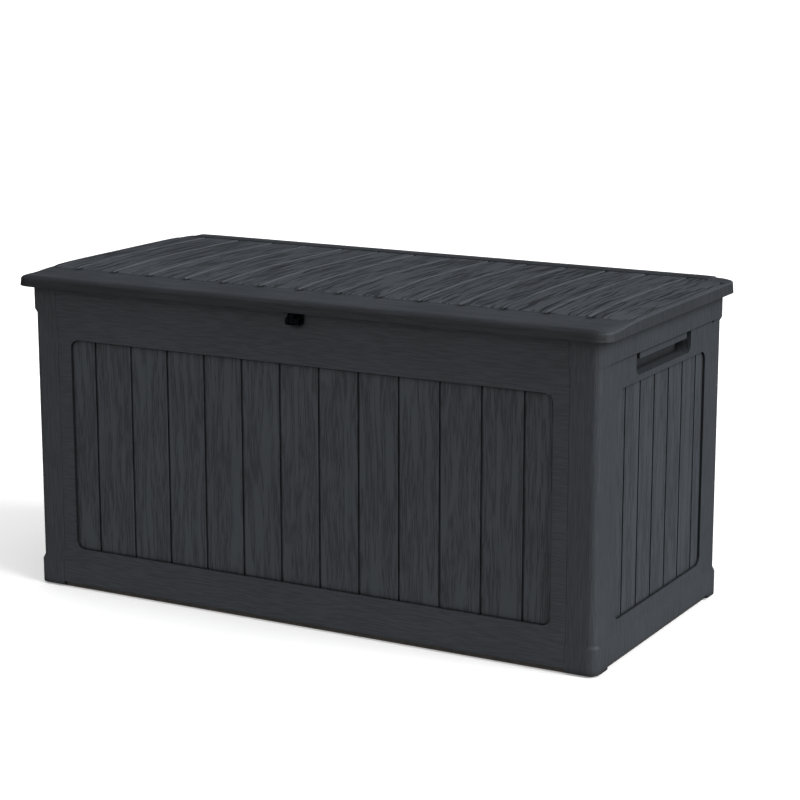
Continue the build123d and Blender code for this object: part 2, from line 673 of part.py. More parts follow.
def lid_grooves():
    """The grooves between the planks of the lid, with level sides and no floor."""
    half = LID_GROOVE_WIDTH / 2
    z_span = (LID_LOW_Z, LID_CREST_Z + 2 * MARGIN)
    return joined(
        block((x - half, x + half), (FIELD_FRONT_Y, FIELD_REAR_Y), z_span)
        for x in groove_places(LID_GROOVES, LID_PLANK)
    )


def lid_hollow():
    """The space under the top of the lid and inside its skirt."""
    inset = LID_SKIRT + LID_FLARE
    width = 2 * (LID_SIDE_X - inset)
    depth = LID_REAR_Y - LID_FRONT_Y - 2 * inset
    outline = Pos(0, (LID_FRONT_Y + LID_REAR_Y) / 2, LID_LOW_Z - OVERLAP) * RectangleRounded(
        width, depth, LID_CORNER_RADIUS - inset
    )
    return extrude(outline, LID_CREST_Z - LID_LOW_Z) & crown(LID_TOP)


def bumper_places():
    """Middles of the rubber bumpers that land on the rim of the walls."""
    front_y = FRONT_Y + SKIN / 2
    side_x = SIDE_X - SKIN / 2
    return [
        (-FRONT_BUMPER_X, front_y),
        (FRONT_BUMPER_X, front_y),
        (-REAR_BUMPER_X, -front_y),
        (REAR_BUMPER_X, -front_y),
        (-side_x, 0),
        (side_x, 0),
    ]


def lid_pads():
    """What stands down from the top of the lid to take screws and bumpers."""
    top = LID_CREST_Z
    bumper_top = RIM_Z + BUMPER_GAP + BUMPER_HEIGHT
    pads = [rod((x, y, bumper_top), (0, 0, 1), BOSS_RADIUS, top - bumper_top) for x, y in bumper_places()]
    for x in LINER_BOSS_X:
        for y in LINER_BOSS_Y:
            start = LINER_LOW_Z + LINER_SKIN
            pads.append(rod((x, y, start), (0, 0, 1), BOSS_RADIUS, top - start))
    arm_rear = HINGE_Y + ARM_SET_BACK
    for x in HINGE_XS:
        y_span = (arm_rear - LEAF_DEPTH, LID_REAR_Y - LID_SKIRT)
        pads.append(block((x - LEAF_HALF, x + LEAF_HALF), y_span, (LEAF_Z + LEAF_THICKNESS, top)))
    hole_y = FRONT_Y - COLLAR_PROUD - LUG_STAND_OFF
    pads.append(
        block(
            (-LUG_FLANGE_HALF, LUG_FLANGE_HALF),
            (hole_y - LUG_FLANGE_FRONT, hole_y + LUG_FLANGE_REAR),
            (LUG_FLANGE_Z + LUG_FLANGE_THICKNESS, top),
        )
    )
    return joined(pads)


def over(drop, outline):
    """What stands higher than the crown lowered by drop, within an upright outline."""
    return outline - crown(drop)


def lid_shell():
    """The moulded top of the lid: planks, grooves, rear strip, skirt and the pads underneath."""
    z_span = (LID_EDGE_Z - 2 * MARGIN, LID_CREST_Z + 4 * MARGIN)
    reach = LID_SIDE_X + 2 * MARGIN
    everywhere = block((-reach, reach), (LID_FRONT_Y - 2 * MARGIN, LID_REAR_Y + 2 * MARGIN), z_span)
    strip_half = LID_SIDE_X - STRIP_SIDE
    strip_y = (FIELD_REAR_Y + STRIP_GAP, FIELD_REAR_Y + STRIP_GAP + STRIP_DEPTH)
    strip = block((-strip_half, strip_half), strip_y, z_span)
    shell = lid_block(0) & crown(-STRIP_RISE)
    shell -= over(-PLANK_RISE, everywhere - strip)
    shell -= over(0, everywhere - strip - plank_field_block())
    shell -= over(-PLANK_RISE + LID_GROOVE_DEPTH, lid_grooves())
    shell -= lid_hollow()
    shell += lid_pads() & crown(LID_TOP / 2)
    for x in HINGE_XS:
        y_span = (BACK_Y, LID_REAR_Y + MARGIN)
        shell -= block((x - NOTCH_HALF, x + NOTCH_HALF), y_span, (LID_LOW_Z - OVERLAP, NOTCH_Z))
    depth = SCREW_BITE + SCREW_BOTTOM
    holes = [upright_hole(x, y, LEAF_Z, LEAF_THICKNESS + depth) for x, y in leaf_screw_places()]
    holes += [upright_hole(x, y, z, LINER_SKIN + depth) for x, y, z in liner_screw_places()]
    holes += [upright_hole(x, y, z, LUG_FLANGE_THICKNESS + depth) for x, y, z in lug_screw_places()]
    return shell - joined(holes)


def liner_half_sizes():
    """Half the width and half the depth of the lid liner."""
    half_x = SIDE_X - PANEL_THICKNESS - LINER_SIDE_GAP
    half_y = WALL_DEPTH / 2 - PANEL_THICKNESS - LINER_SIDE_GAP
    return half_x, half_y


def liner_screw_places():
    """Where the screws through the liner start."""
    return [(x, y, LINER_LOW_Z) for x in LINER_BOSS_X for y in LINER_BOSS_Y]


def lid_liner():
    """The shallow tray under the lid, which closes it and locates it inside the walls."""
    half_x, half_y = liner_half_sizes()
    outer = RectangleRounded(2 * half_x, 2 * half_y, CORNER_RADIUS)
    tray = extrude(Pos(0, 0, LINER_LOW_Z) * outer, LINER_EDGE_Z - LINER_LOW_Z)
    inner = RectangleRounded(
        2 * (half_x - LINER_SKIN), 2 * (half_y - LINER_SKIN), CORNER_RADIUS - LINER_SKIN
    )
    tray -= extrude(Pos(0, 0, LINER_LOW_Z + LINER_SKIN) * inner, LINER_EDGE_Z - LINER_LOW_Z)
    length = LINER_SKIN + 2 * OVERLAP
    holes = [upright_hole(x, y, z - OVERLAP, length) for x, y, z in liner_screw_places()]
    return tray - joined(holes)


def liner_screws():
    """The screws through the liner into the bosses of the lid."""
    return [upright_screw(x, y, z, LINER_SKIN + SCREW_BITE) for x, y, z in liner_screw_places()]


def lid_stiffener(y):
    """A flat steel tube that lies on the liner and keeps the lid straight."""
    z_low = LINER_LOW_Z + LINER_SKIN
    outer = RectangleRounded(STIFFENER_DEPTH, STIFFENER_HEIGHT, STIFFENER_RADIUS)
    inner = RectangleRounded(
        STIFFENER_DEPTH - 2 * STIFFENER_WALL, STIFFENER_HEIGHT - 2 * STIFFENER_WALL, STIFFENER_WALL / 2
    )
    plane = Plane(
        (-STIFFENER_LENGTH / 2, y, z_low + STIFFENER_HEIGHT / 2), x_dir=(0, 1, 0), z_dir=(1, 0, 0)
    )
    return extrude(plane * (outer - inner), STIFFENER_LENGTH)


def lid_bumpers():
    """Soft rubber buttons under the lid."""
    low = RIM_Z + BUMPER_GAP
    buttons = [rod((x, y, low), (0, 0, 1), BUMPER_RADIUS, BUMPER_HEIGHT) for x, y in bumper_places()]
    return [fillet(button.edges().group_by(Axis.Z)[0], BUMPER_ROUNDING) for button in buttons]


# Padlock loops ----------------------------------------------------------------------------------


def lock_screw_holes():
    """Holes through the loop plate and into the collar."""
    start = FRONT_Y - COLLAR_PROUD - LOCK_PLATE_THICKNESS - OVERLAP
    return [
        rod((x, start, LOCK_SCREW_Z), (0, 1, 0), SCREW_RADIUS + SCREW_CLEARANCE, SCREW_BITE + MARGIN)
        for x in (-LOCK_SCREW_X, LOCK_SCREW_X)
    ]


def lock_screws():
    """The screws that hold the loop plate to the collar."""
    seat = FRONT_Y - COLLAR_PROUD - LOCK_PLATE_THICKNESS
    return [
        rod((x, seat, LOCK_SCREW_Z), (0, -1, 0), SCREW_HEAD_RADIUS, SCREW_HEAD)
        + rod((x, seat, LOCK_SCREW_Z), (0, 1, 0), SCREW_RADIUS, LOCK_PLATE_THICKNESS + SCREW_BITE)
        for x in (-LOCK_SCREW_X, LOCK_SCREW_X)
    ]


def lug(low_x, back_y):
    """A round-ended plate in the middle plane of the lock, reaching back to back_y."""
    hole_y = FRONT_Y - COLLAR_PROUD - LUG_STAND_OFF
    head = rod((low_x, hole_y, LUG_Z), (1, 0, 0), LUG_RADIUS, LUG_THICKNESS)
    web = block((low_x, low_x + LUG_THICKNESS), (hole_y, back_y), (LUG_Z - LUG_RADIUS, LUG_Z + LUG_RADIUS))
    return head + web


def padlock_hole():
    """The hole for the padlock, through all three lugs."""
    hole_y = FRONT_Y - COLLAR_PROUD - LUG_STAND_OFF
    return rod((-LOCK_PLATE_WIDTH, hole_y, LUG_Z), (1, 0, 0), PADLOCK_HOLE_RADIUS, 2 * LOCK_PLATE_WIDTH)


def padlock_bracket():
    """The plate on the collar with its two lugs."""
    face = FRONT_Y - COLLAR_PROUD
    height = LOCK_PLATE_TOP_Z - LOCK_PLATE_LOW_Z
    middle_z = (LOCK_PLATE_TOP_Z + LOCK_PLATE_LOW_Z) / 2
    outline = RectangleRounded(LOCK_PLATE_WIDTH, height, LOCK_PLATE_RADIUS)
    plate = extrude(wall_plane(face, middle_z) * outline, LOCK_PLATE_THICKNESS)
    gap = LUG_THICKNESS / 2 + LUG_CLEARANCE
    lugs = [lug(-gap - LUG_THICKNESS, face - OVERLAP), lug(gap, face - OVERLAP)]
    return joined([plate, *lugs]) - padlock_hole() - joined(lock_screw_holes())


def lug_screw_places():
    """Where the screws through the flange of the lid's lug start."""
    hole_y = FRONT_Y - COLLAR_PROUD - LUG_STAND_OFF
    return [(side * LUG_SCREW_X, hole_y, LUG_FLANGE_Z) for side in (-1, 1)]


def padlock_lid_lug():
    """The lug that hangs from the lid between the other two."""
    hole_y = FRONT_Y - COLLAR_PROUD - LUG_STAND_OFF
    back_y = FRONT_Y - COLLAR_PROUD - LOCK_PLATE_THICKNESS - LUG_CLEARANCE
    plate = lug(-LUG_THICKNESS / 2, back_y)
    stem = block(
        (-LUG_THICKNESS / 2, LUG_THICKNESS / 2),
        (hole_y - LUG_RADIUS, back_y),
        (LUG_Z, LUG_FLANGE_Z + LUG_FLANGE_THICKNESS),
    )
    flange = block(
        (-LUG_FLANGE_HALF, LUG_FLANGE_HALF),
        (hole_y - LUG_FLANGE_FRONT, hole_y + LUG_FLANGE_REAR),
        (LUG_FLANGE_Z, LUG_FLANGE_Z + LUG_FLANGE_THICKNESS),
    )
    length = LUG_FLANGE_THICKNESS + 2 * OVERLAP
    holes = [upright_hole(x, y, z - OVERLAP, length) for x, y, z in lug_screw_places()]
    return joined([plate, stem, flange]) - padlock_hole() - joined(holes)


def lug_screws():
    """The screws that hold that lug to the lid."""
    return [
        upright_screw(x, y, z, LUG_FLANGE_THICKNESS + SCREW_BITE) for x, y, z in lug_screw_places()
    ]


# Writing ----------------------------------------------------------------------------------------


def write(name, shapes):
    """Writes one node: a single piece, or a group of like pieces as separate solids."""
    shapes = shapes if isinstance(shapes, list) else [shapes]
    solids = [solid for shape in shapes for solid in shape.solids()]
    placed = [Pos(0, SHIFT_Y, 0) * solid for solid in solids]
    export_step(placed[0] if len(placed) == 1 else Compound(children=placed), f"parts/{name}.step")


def main():
    """Makes every piece of the box and of its lid."""
    os.makedirs("parts", exist_ok=True)
    write("front_panel", long_panel("front"))
    write("back_panel", long_panel("back"))
    write("left_side_panel", side_panel("left"))
    write("right_side_panel", side_panel("right"))
    write("base_pan", base_pan())
    write("base_screws", base_screws())
    write("corner_screws", corner_screws())
    for number, x in enumerate(HINGE_XS, start=1):
        write(f"hinge_bracket_{number}", hinge_bracket(x))
        write(f"hinge_pin_{number}", hinge_pin(x))
        write(f"hinge_leaf_{number}", hinge_leaf(x))
    write("hinge_bracket_screws", bracket_screws())
    write("hinge_leaf_screws", leaf_screws())
    write("padlock_bracket", padlock_bracket())
    write("padlock_bracket_screws", lock_screws())
    write("padlock_lid_lug", padlock_lid_lug())
    write("padlock_lid_lug_screws", lug_screws())
    write("lid_shell", lid_shell())
    write("lid_liner", lid_liner())
    write("lid_liner_screws", liner_screws())
    write("lid_stiffener_front", lid_stiffener(-STIFFENER_Y))
    write("lid_stiffener_rear", lid_stiffener(STIFFENER_Y))
    write("lid_bumpers", lid_bumpers())


main()
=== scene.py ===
"""Looks of the deck storage box: weathered anthracite resin with a moulded wood grain."""

import json
import logging
import math
from dataclasses import dataclass
from enum import Enum

import bpy
import numpy as np
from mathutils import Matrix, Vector


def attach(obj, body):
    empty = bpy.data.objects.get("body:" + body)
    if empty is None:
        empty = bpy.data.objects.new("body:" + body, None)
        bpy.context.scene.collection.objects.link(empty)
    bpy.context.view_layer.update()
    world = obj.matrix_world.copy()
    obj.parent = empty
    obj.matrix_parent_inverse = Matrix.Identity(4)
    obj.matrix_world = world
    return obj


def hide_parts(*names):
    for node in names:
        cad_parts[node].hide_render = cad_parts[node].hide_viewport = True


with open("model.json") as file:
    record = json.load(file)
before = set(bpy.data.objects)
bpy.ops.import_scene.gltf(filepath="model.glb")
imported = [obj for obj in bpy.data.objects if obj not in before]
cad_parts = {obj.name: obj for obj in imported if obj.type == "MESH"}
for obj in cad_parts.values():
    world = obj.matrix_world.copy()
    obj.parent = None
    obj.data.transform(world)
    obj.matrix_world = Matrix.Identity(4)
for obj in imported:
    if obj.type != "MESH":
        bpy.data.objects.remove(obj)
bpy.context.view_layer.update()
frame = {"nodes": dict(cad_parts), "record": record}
log = logging.getLogger("deck_box")

MM = 0.001
PLAIN_BOARD = 30.0  # boards numbered from here on have fibres but no ribbons
RAIL_BOARD = PLAIN_BOARD + 4  # level rails of the walls
BAND_BOARD = PLAIN_BOARD + 7  # smooth band and sides of the lid
SHIFT_Y = 7.6  # mm, from the middle of the walls to the middle of the lid
ARRIS = "arris"  # mesh attribute of painted highlight lines and painted shade lines
LATTICE_CELLS = 256
LATTICE_START = 900.0  # keeps lattice places above 0
FAR = 1e3
TINY = 1e-9


class Way(Enum):
    """Direction in which the grain of a wall's planks repeats."""

    X = 0
    Y = 1


def linear(code: str, alpha: float = 1.0) -> tuple[float, float, float, float]:
    """Turns an sRGB hex colour into the linear values that a shader takes."""
    parts = [int(code[i : i + 2], 16) / 255 for i in (1, 3, 5)]
    flat = [p / 12.92 if p <= 0.04045 else ((p + 0.055) / 1.055) ** 2.4 for p in parts]
    return (*flat, alpha)


def add(
    tree: bpy.types.NodeTree, kind: str, inputs: dict | None = None, **settings
) -> bpy.types.NodeSocket | bpy.types.Node:
    """Adds one node and returns its first output.

    Args:
        tree: Node tree that takes the node.
        kind: Blender's name of the node, without its ShaderNode prefix.
        inputs: Value or socket for each input, by name or number.
        settings: Attributes of the node.

    Returns:
        The node's first output socket, or the node where it has no output.
    """
    node = tree.nodes.new("ShaderNode" + kind)
    for name, value in settings.items():
        setattr(node, name, value)
    for key, value in (inputs or {}).items():
        if isinstance(value, bpy.types.NodeSocket):
            tree.links.new(value, node.inputs[key])
        else:
            node.inputs[key].default_value = value
    return node.outputs[0] if len(node.outputs) else node


def fresh_material(name: str) -> tuple[bpy.types.Material, bpy.types.NodeTree]:
    """Makes a new material.

    Args:
        name: The material's name.

    Returns:
        The material and its emptied node tree.
    """
    material = bpy.data.materials.new(name)
    material.use_nodes = True
    material.node_tree.nodes.clear()
    return material, material.node_tree


def close(tree: bpy.types.NodeTree, shader: bpy.types.NodeSocket) -> None:
    """Links the shader to the material's output."""
    add(tree, "OutputMaterial", {"Surface": shader})


# ---------------------------------------------------------------- grain maps


@dataclass(frozen=True)
class MeshGrain:
    """Grain directions that a modelled mesh carries in its own attribute."""

    attribute: str = "grain"

    def coords(self, tree: bpy.types.NodeTree) -> bpy.types.NodeSocket:
        """Adds the grain's directions to a material.

        Args:
            tree: Node tree of the material.

        Returns:
            A vector of across, along (metres) and a number for each board.
        """
        node = add(tree, "Attribute", attribute_name=self.attribute).node
        return node.outputs["Vector"]


@dataclass(frozen=True)
class WallGrain:
    """Grain directions of a wall: upright on planks and posts, level on rails.

    Sizes are in metres. The wall's middle is at shift along its length, and a wall whose
    rail_half is 0 has no level rails.
    """

    way: Way
    shift: float
    field_half: float
    field_low: float
    field_top: float
    board: float
    rail_half: float

    def coords(self, tree: bpy.types.NodeTree) -> bpy.types.NodeSocket:
        """Adds the grain's directions to a material.

        Args:
            tree: Node tree of the material.

        Returns:
            A vector of across, along (metres) and a number for each board.
        """
        place = add(tree, "TexCoord").node.outputs["Object"]
        split = add(tree, "SeparateXYZ", {0: place}).node
        x, y, z = split.outputs
        length, depth = (x, y) if self.way is Way.X else (y, x)
        length = add(tree, "Math", {0: length, 1: self.shift}, operation="SUBTRACT")
        reach = add(tree, "Math", {0: length}, operation="ABSOLUTE")
        in_field = add(tree, "Math", {0: reach, 1: self.field_half}, operation="LESS_THAN")
        over_low = add(tree, "Math", {0: z, 1: self.field_low}, operation="GREATER_THAN")
        under_top = add(tree, "Math", {0: z, 1: self.field_top}, operation="LESS_THAN")
        in_rows = add(tree, "Math", {0: over_low, 1: under_top}, operation="MULTIPLY")
        planks = add(tree, "Math", {0: in_field, 1: in_rows}, operation="MULTIPLY")
        near = add(tree, "Math", {0: reach, 1: self.rail_half}, operation="LESS_THAN")
        rails = add(tree, "Math", {0: near, 1: planks}, operation="SUBTRACT")
        rails = add(tree, "Clamp", {0: rails})
        share = add(tree, "Math", {0: length, 1: self.board}, operation="DIVIDE")
        number = add(tree, "Math", {0: share}, operation="ROUND")
        plain = add(tree, "Math", {0: 1.0, 1: planks}, operation="SUBTRACT")
        number = add(tree, "Math", {0: number, 1: planks}, operation="MULTIPLY")
        number = add(tree, "Math", {0: plain, 1: PLAIN_BOARD, 2: number}, operation="MULTIPLY_ADD")
        girth = add(tree, "Math", {0: length, 1: depth}, operation="ADD")
        upright = add(tree, "CombineXYZ", {0: girth, 1: z, 2: number})
        level = add(tree, "CombineXYZ", {0: z, 1: girth, 2: RAIL_BOARD})
        mixed = add(
            tree, "Mix", {"Factor": rails, 4: upright, 5: level}, data_type="VECTOR"
        ).node
        return mixed.outputs[1]


# ------------------------------------------------------------------ finishes


@dataclass(frozen=True)
class GrainedResin:
    """Injection-moulded polypropylene with a wood figure in the mould.

    Sizes are in metres: the figure is made of smooth ribbons that taper to points, with fine
    fibres between them.
    """

    name: str
    dark: str
    light: str
    ribbon_width: float = 0.011
    ribbon_length: float = 0.20
    # real fibres are about 0.6 mm apart, drawn coarser so that they hold at this distance
    fibre_pitch: float = 0.0026
    fibre_length: float = 0.045
    bend: float = 0.018
    relief: float = 0.0006
    ior: float = 1.49
    sheen_low: float = 0.50
    sheen_high: float = 0.66
    specular: float = 0.35
    plain_share: float = 0.5
    ribbon_share: float = 0.85
    fibre_share: float = 0.75
    # painted highlight colour of lit groove walls
    highlight_colour: str = "#50555a"
    # painted shade colour of shaded lines and of the ambient-occlusion shade
    shade_colour: str = "#101113"
    # strength, reach and range of the painted shade from ambient occlusion
    painted_shade: float = 0.95
    shade_reach: float = 0.020
    shade_range: tuple[float, float] = (0.45, 0.90)
    board_step: float = 3.71
    drift_width: float = 3.0
    drift_length: float = 1.2
    swirl: float = 0.35
    ribbon_range: tuple[float, float] = (0.54, 0.60)
    fibre_range: tuple[float, float] = (0.36, 0.60)
    haze_scale: float = 5.0
    haze_range: tuple[float, float] = (0.3, 0.7)
    haze: float = 0.12
    # share of the mesh's painted highlight mixed into the colour
    highlight_share: float = 0.8
    ribbon_height: float = 0.9
    # mould texture under the grain: a fine matt pebble, 0.5 mm
    pebble_scale: float = 1400.0
    pebble_height: float = 0.12

    @staticmethod
    def stretched(
        tree: bpy.types.NodeTree, sockets: tuple, width: float, length: float
    ) -> bpy.types.NodeSocket:
        """Stretches a pattern along the grain.

        Args:
            tree: Node tree of the material.
            sockets: Across, along and board number.
            width: Width of the pattern's cells in metres.
            length: Their length in metres.

        Returns:
            The vector for the pattern.
        """
        across, along, number = sockets
        across = add(tree, "Math", {0: across, 1: 1 / width}, operation="MULTIPLY")
        along = add(tree, "Math", {0: along, 1: 1 / length}, operation="MULTIPLY")
        return add(tree, "CombineXYZ", {0: across, 1: along, 2: number})

    def figure(
        self, tree: bpy.types.NodeTree, coords: bpy.types.NodeSocket
    ) -> tuple[bpy.types.NodeSocket, bpy.types.NodeSocket]:
        """Draws the wood figure.

        Args:
            tree: Node tree of the material.
            coords: Across, along and board number.

        Returns:
            Ribbons (0 to 1) and fibres (0 to 1) along the grain.
        """
        board = add(tree, "SeparateXYZ", {0: coords}).node
        across, along, number = board.outputs
        figured = add(tree, "Math", {0: number, 1: PLAIN_BOARD - 1.0}, operation="LESS_THAN")
        number = add(tree, "Math", {0: number, 1: self.board_step}, operation="MULTIPLY")
        wide = self.stretched(
            tree,
            (across, along, number),
            self.drift_width * self.ribbon_width,
            self.drift_length * self.ribbon_length,
        )
        drift = add(tree, "TexNoise", {"Vector": wide, "Scale": 1.0, "Detail": 2.0})
        drift = add(tree, "Math", {0: drift, 1: -0.5}, operation="ADD")
        drift = add(tree, "Math", {0: drift, 1: self.bend}, operation="MULTIPLY")
        bent = add(tree, "Math", {0: across, 1: drift}, operation="ADD")
        flame = self.stretched(
            tree, (bent, along, number), self.ribbon_width, self.ribbon_length
        )
        ribbons = add(
            tree,
            "TexNoise",
            {"Vector": flame, "Scale": 1.0, "Detail": 1.0, "Distortion": self.swirl},
        )
        start, end = self.ribbon_range
        ribbons = add(
            tree,
            "MapRange",
            {"Value": ribbons, "From Min": start, "From Max": end},
            interpolation_type="SMOOTHSTEP",
        )
        ribbons = add(tree, "Math", {0: ribbons, 1: figured}, operation="MULTIPLY")
        fine = self.stretched(tree, (bent, along, number), self.fibre_pitch, self.fibre_length)
        fibres = add(
            tree, "TexNoise", {"Vector": fine, "Scale": 1.0, "Detail": 2.0, "Roughness": 0.55}
        )
        start, end = self.fibre_range
        fibres = add(
            tree,
            "MapRange",
            {"Value": fibres, "From Min": start, "From Max": end},
            interpolation_type="SMOOTHSTEP",
        )
        # rails, posts and rims carry the same fibres, but polished down
        bold = add(tree, "MapRange", {"Value": figured, "To Min": self.plain_share, "To Max": 1.0})
        fibres = add(tree, "Math", {0: fibres, 1: -0.5}, operation="ADD")
        fibres = add(tree, "Math", {0: fibres, 1: bold, 2: 0.5}, operation="MULTIPLY_ADD")
        return ribbons, fibres

    def build(self, grain: MeshGrain | WallGrain, arris: bool = False) -> bpy.types.Material:
        """Builds the material.

        Args:
            grain: Gives the grain directions of the piece.
            arris: Whether the mesh carries painted highlights (above 0) and painted shade (below 0).

        Returns:
            The material.
        """
        material, tree = fresh_material(self.name)
        coords = grain.coords(tree)
        ribbons, fibres = self.figure(tree, coords)
        rough_part = add(tree, "Math", {0: 1.0, 1: ribbons}, operation="SUBTRACT")
        pits = add(tree, "Math", {0: fibres, 1: rough_part}, operation="MULTIPLY")
        tone = add(tree, "Math", {0: ribbons, 1: self.ribbon_share}, operation="MULTIPLY")
        tone = add(tree, "Math", {0: pits, 1: self.fibre_share, 2: tone}, operation="MULTIPLY_ADD")
        place = add(tree, "TexCoord").node.outputs["Object"]
        haze = add(tree, "TexNoise", {"Vector": place, "Scale": self.haze_scale, "Detail": 4.0})
        start, end = self.haze_range
        haze = add(
            tree,
            "MapRange",
            {
                "Value": haze,
                "From Min": start,
                "From Max": end,
                "To Min": -self.haze,
                "To Max": self.haze,
            },
        )
        tone = add(tree, "Math", {0: tone, 1: haze}, operation="ADD", use_clamp=True)
        colour = add(
            tree,
            "Mix",
            {"Factor": tone, 6: linear(self.dark), 7: linear(self.light)},
            data_type="RGBA",
        ).node
        # painted highlights (above 0) and painted shade (below 0) from the mesh's arris attribute go
        # into the colour
        if arris:
            line = add(tree, "Attribute", attribute_name=ARRIS).node.outputs["Fac"]
            for share, code in ((self.highlight_share, self.highlight_colour), (-1.0, self.shade_colour)):
                marked = add(
                    tree, "Math", {0: line, 1: share}, operation="MULTIPLY", use_clamp=True
                )
                colour = add(
                    tree,
                    "Mix",
                    {"Factor": marked, 6: colour.outputs[2], 7: linear(code)},
                    data_type="RGBA",
                ).node
        # painted shade: where ambient occlusion finds grooves and corners, the colour darkens towards
        # the shade colour, which keeps their lines dark
        shelter = add(tree, "AmbientOcclusion", {"Distance": self.shade_reach}, samples=8).node
        start, end = self.shade_range
        painted_shade = add(
            tree,
            "MapRange",
            {
                "Value": shelter.outputs["AO"],
                "From Min": start,
                "From Max": end,
                "To Min": self.painted_shade,
                "To Max": 0.0,
            },
        )
        colour = add(
            tree,
            "Mix",
            {"Factor": painted_shade, 6: colour.outputs[2], 7: linear(self.shade_colour)},
            data_type="RGBA",
        ).node
        height = add(
            tree, "Math", {0: ribbons, 1: self.ribbon_height, 2: pits}, operation="MULTIPLY_ADD"
        )
        pebble = add(
            tree, "TexNoise", {"Vector": place, "Scale": self.pebble_scale, "Detail": 1.0}
        )
        height = add(
            tree, "Math", {0: pebble, 1: self.pebble_height, 2: height}, operation="MULTIPLY_ADD"
        )
        normal = add(tree, "Bump", {"Height": height, "Distance": self.relief, "Strength": 1.0})
        sheen = add(
            tree,
            "MapRange",
            {"Value": tone, "To Min": self.sheen_high, "To Max": self.sheen_low},
        )
        shader = add(
            tree,
            "BsdfPrincipled",
            {
                "Base Color": colour.outputs[2],
                "Roughness": sheen,
                "IOR": self.ior,
                "Specular IOR Level": self.specular,
                "Normal": normal,
            },
        )
        close(tree, shader)
        return material


@dataclass(frozen=True)
class PlainFinish:
    """A finish without grain: a mottled colour, an uneven sheen and a fine surface texture."""

    name: str
    dark: str
    light: str
    pattern: float
    relief: float
    rough_low: float
    rough_high: float
    ior: float = 1.5
    metallic: float = 0.0
    stretch: tuple[float, float, float] = (1.0, 1.0, 1.0)
    specular: float = 0.4
    cloud_range: tuple[float, float] = (0.3, 0.7)
    grit: float = 7.0
    strength: float = 0.6

    def build(self) -> bpy.types.Material:
        """Builds the material.

        Returns:
            The material.
        """
        start, end = self.cloud_range
        material, tree = fresh_material(self.name)
        place = add(tree, "TexCoord").node.outputs["Object"]
        place = add(tree, "Mapping", {"Vector": place, "Scale": self.stretch})
        cloud = add(tree, "TexNoise", {"Vector": place, "Scale": 1 / self.pattern, "Detail": 5.0})
        grit = add(
            tree, "TexNoise", {"Vector": place, "Scale": self.grit / self.pattern, "Detail": 2.0}
        )
        tone = add(tree, "MapRange", {"Value": cloud, "From Min": start, "From Max": end})
        colour = add(
            tree,
            "Mix",
            {"Factor": tone, 6: linear(self.dark), 7: linear(self.light)},
            data_type="RGBA",
        ).node
        rough = add(
            tree,
            "MapRange",
            {
                "Value": grit,
                "From Min": start,
                "From Max": end,
                "To Min": self.rough_low,
                "To Max": self.rough_high,
            },
        )
        height = add(tree, "Math", {0: cloud, 1: 0.5, 2: grit}, operation="MULTIPLY_ADD")
        normal = add(
            tree, "Bump", {"Height": height, "Distance": self.relief, "Strength": self.strength}
        )
        shader = add(
            tree,
            "BsdfPrincipled",
            {
                "Base Color": colour.outputs[2],
                "Roughness": rough,
                "IOR": self.ior,
                "Metallic": self.metallic,
                "Specular IOR Level": self.specular,
                "Normal": normal,
            },
        )
        close(tree, shader)
        return material


# ------------------------------------------------------------------- numbers


def lattice_noise(u: np.ndarray, v: np.ndarray, seed: int) -> np.ndarray:
    """Makes smooth noise on a lattice of whole numbers.

    Args:
        u: Places along the lattice's first way.
        v: Places along its second way.
        seed: Chooses the lattice's values.

    Returns:
        Noise from 0 to 1 at each place.
    """
    table = np.random.default_rng(seed).random((LATTICE_CELLS, LATTICE_CELLS))
    iu, iv = np.floor(u).astype(int), np.floor(v).astype(int)
    fu, fv = u - iu, v - iv
    fu, fv = fu * fu * (3 - 2 * fu), fv * fv * (3 - 2 * fv)
    u0, u1 = iu % LATTICE_CELLS, (iu + 1) % LATTICE_CELLS
    v0, v1 = iv % LATTICE_CELLS, (iv + 1) % LATTICE_CELLS
    a, b, c, d = table[u0, v0], table[u1, v0], table[u0, v1], table[u1, v1]
    return (a * (1 - fu) + b * fu) * (1 - fv) + (c * (1 - fu) + d * fu) * fv


def smooth_step(t: np.ndarray) -> np.ndarray:
    """Rises softly from 0 to 1 as t goes from 0 to 1."""
    t = np.clip(t, 0, 1)
    return t * t * (3 - 2 * t)


def round_shoulder(t: np.ndarray) -> np.ndarray:
    """Rises from 0 to 1 like a quarter circle as t goes from 0 to 1."""
    t = np.clip(t, 0, 1)
    return np.sqrt(1 - (1 - t) ** 2)


def larger(a: np.ndarray, b: np.ndarray, power: float = 3.0) -> np.ndarray:
    """The larger of two lengths, with a soft change from one to the other."""
    return (np.abs(a) ** power + np.abs(b) ** power) ** (1 / power)


def mesh_object(
    name: str, points: np.ndarray, faces: list, grain: np.ndarray, crease: float = 50.0
) -> bpy.types.Object:
    """Makes a smooth-shaded mesh object from points in mm of the walls' frame.

    Args:
        name: Name of the piece.
        points: One row for each vertex.
        faces: Vertex numbers of each face.
        grain: Across, along (metres) and board number of each vertex.
        crease: Edges that turn more than this many degrees stay sharp.

    Returns:
        The new object.
    """
    mesh = bpy.data.meshes.new(name)
    moved = (points + np.array([0, SHIFT_Y, 0])) * MM
    mesh.from_pydata(moved.tolist(), [], faces)
    mesh.update()
    mesh.polygons.foreach_set("use_smooth", [True] * len(mesh.polygons))
    mesh.set_sharp_from_angle(angle=math.radians(crease))
    attribute = mesh.attributes.new(MeshGrain.attribute, "FLOAT_VECTOR", "POINT")
    attribute.data.foreach_set("vector", grain.astype(np.float32).ravel())
    piece = bpy.data.objects.new(name, mesh)
    bpy.context.scene.collection.objects.link(piece)
    return piece


# ----------------------------------------------------------------------- lid


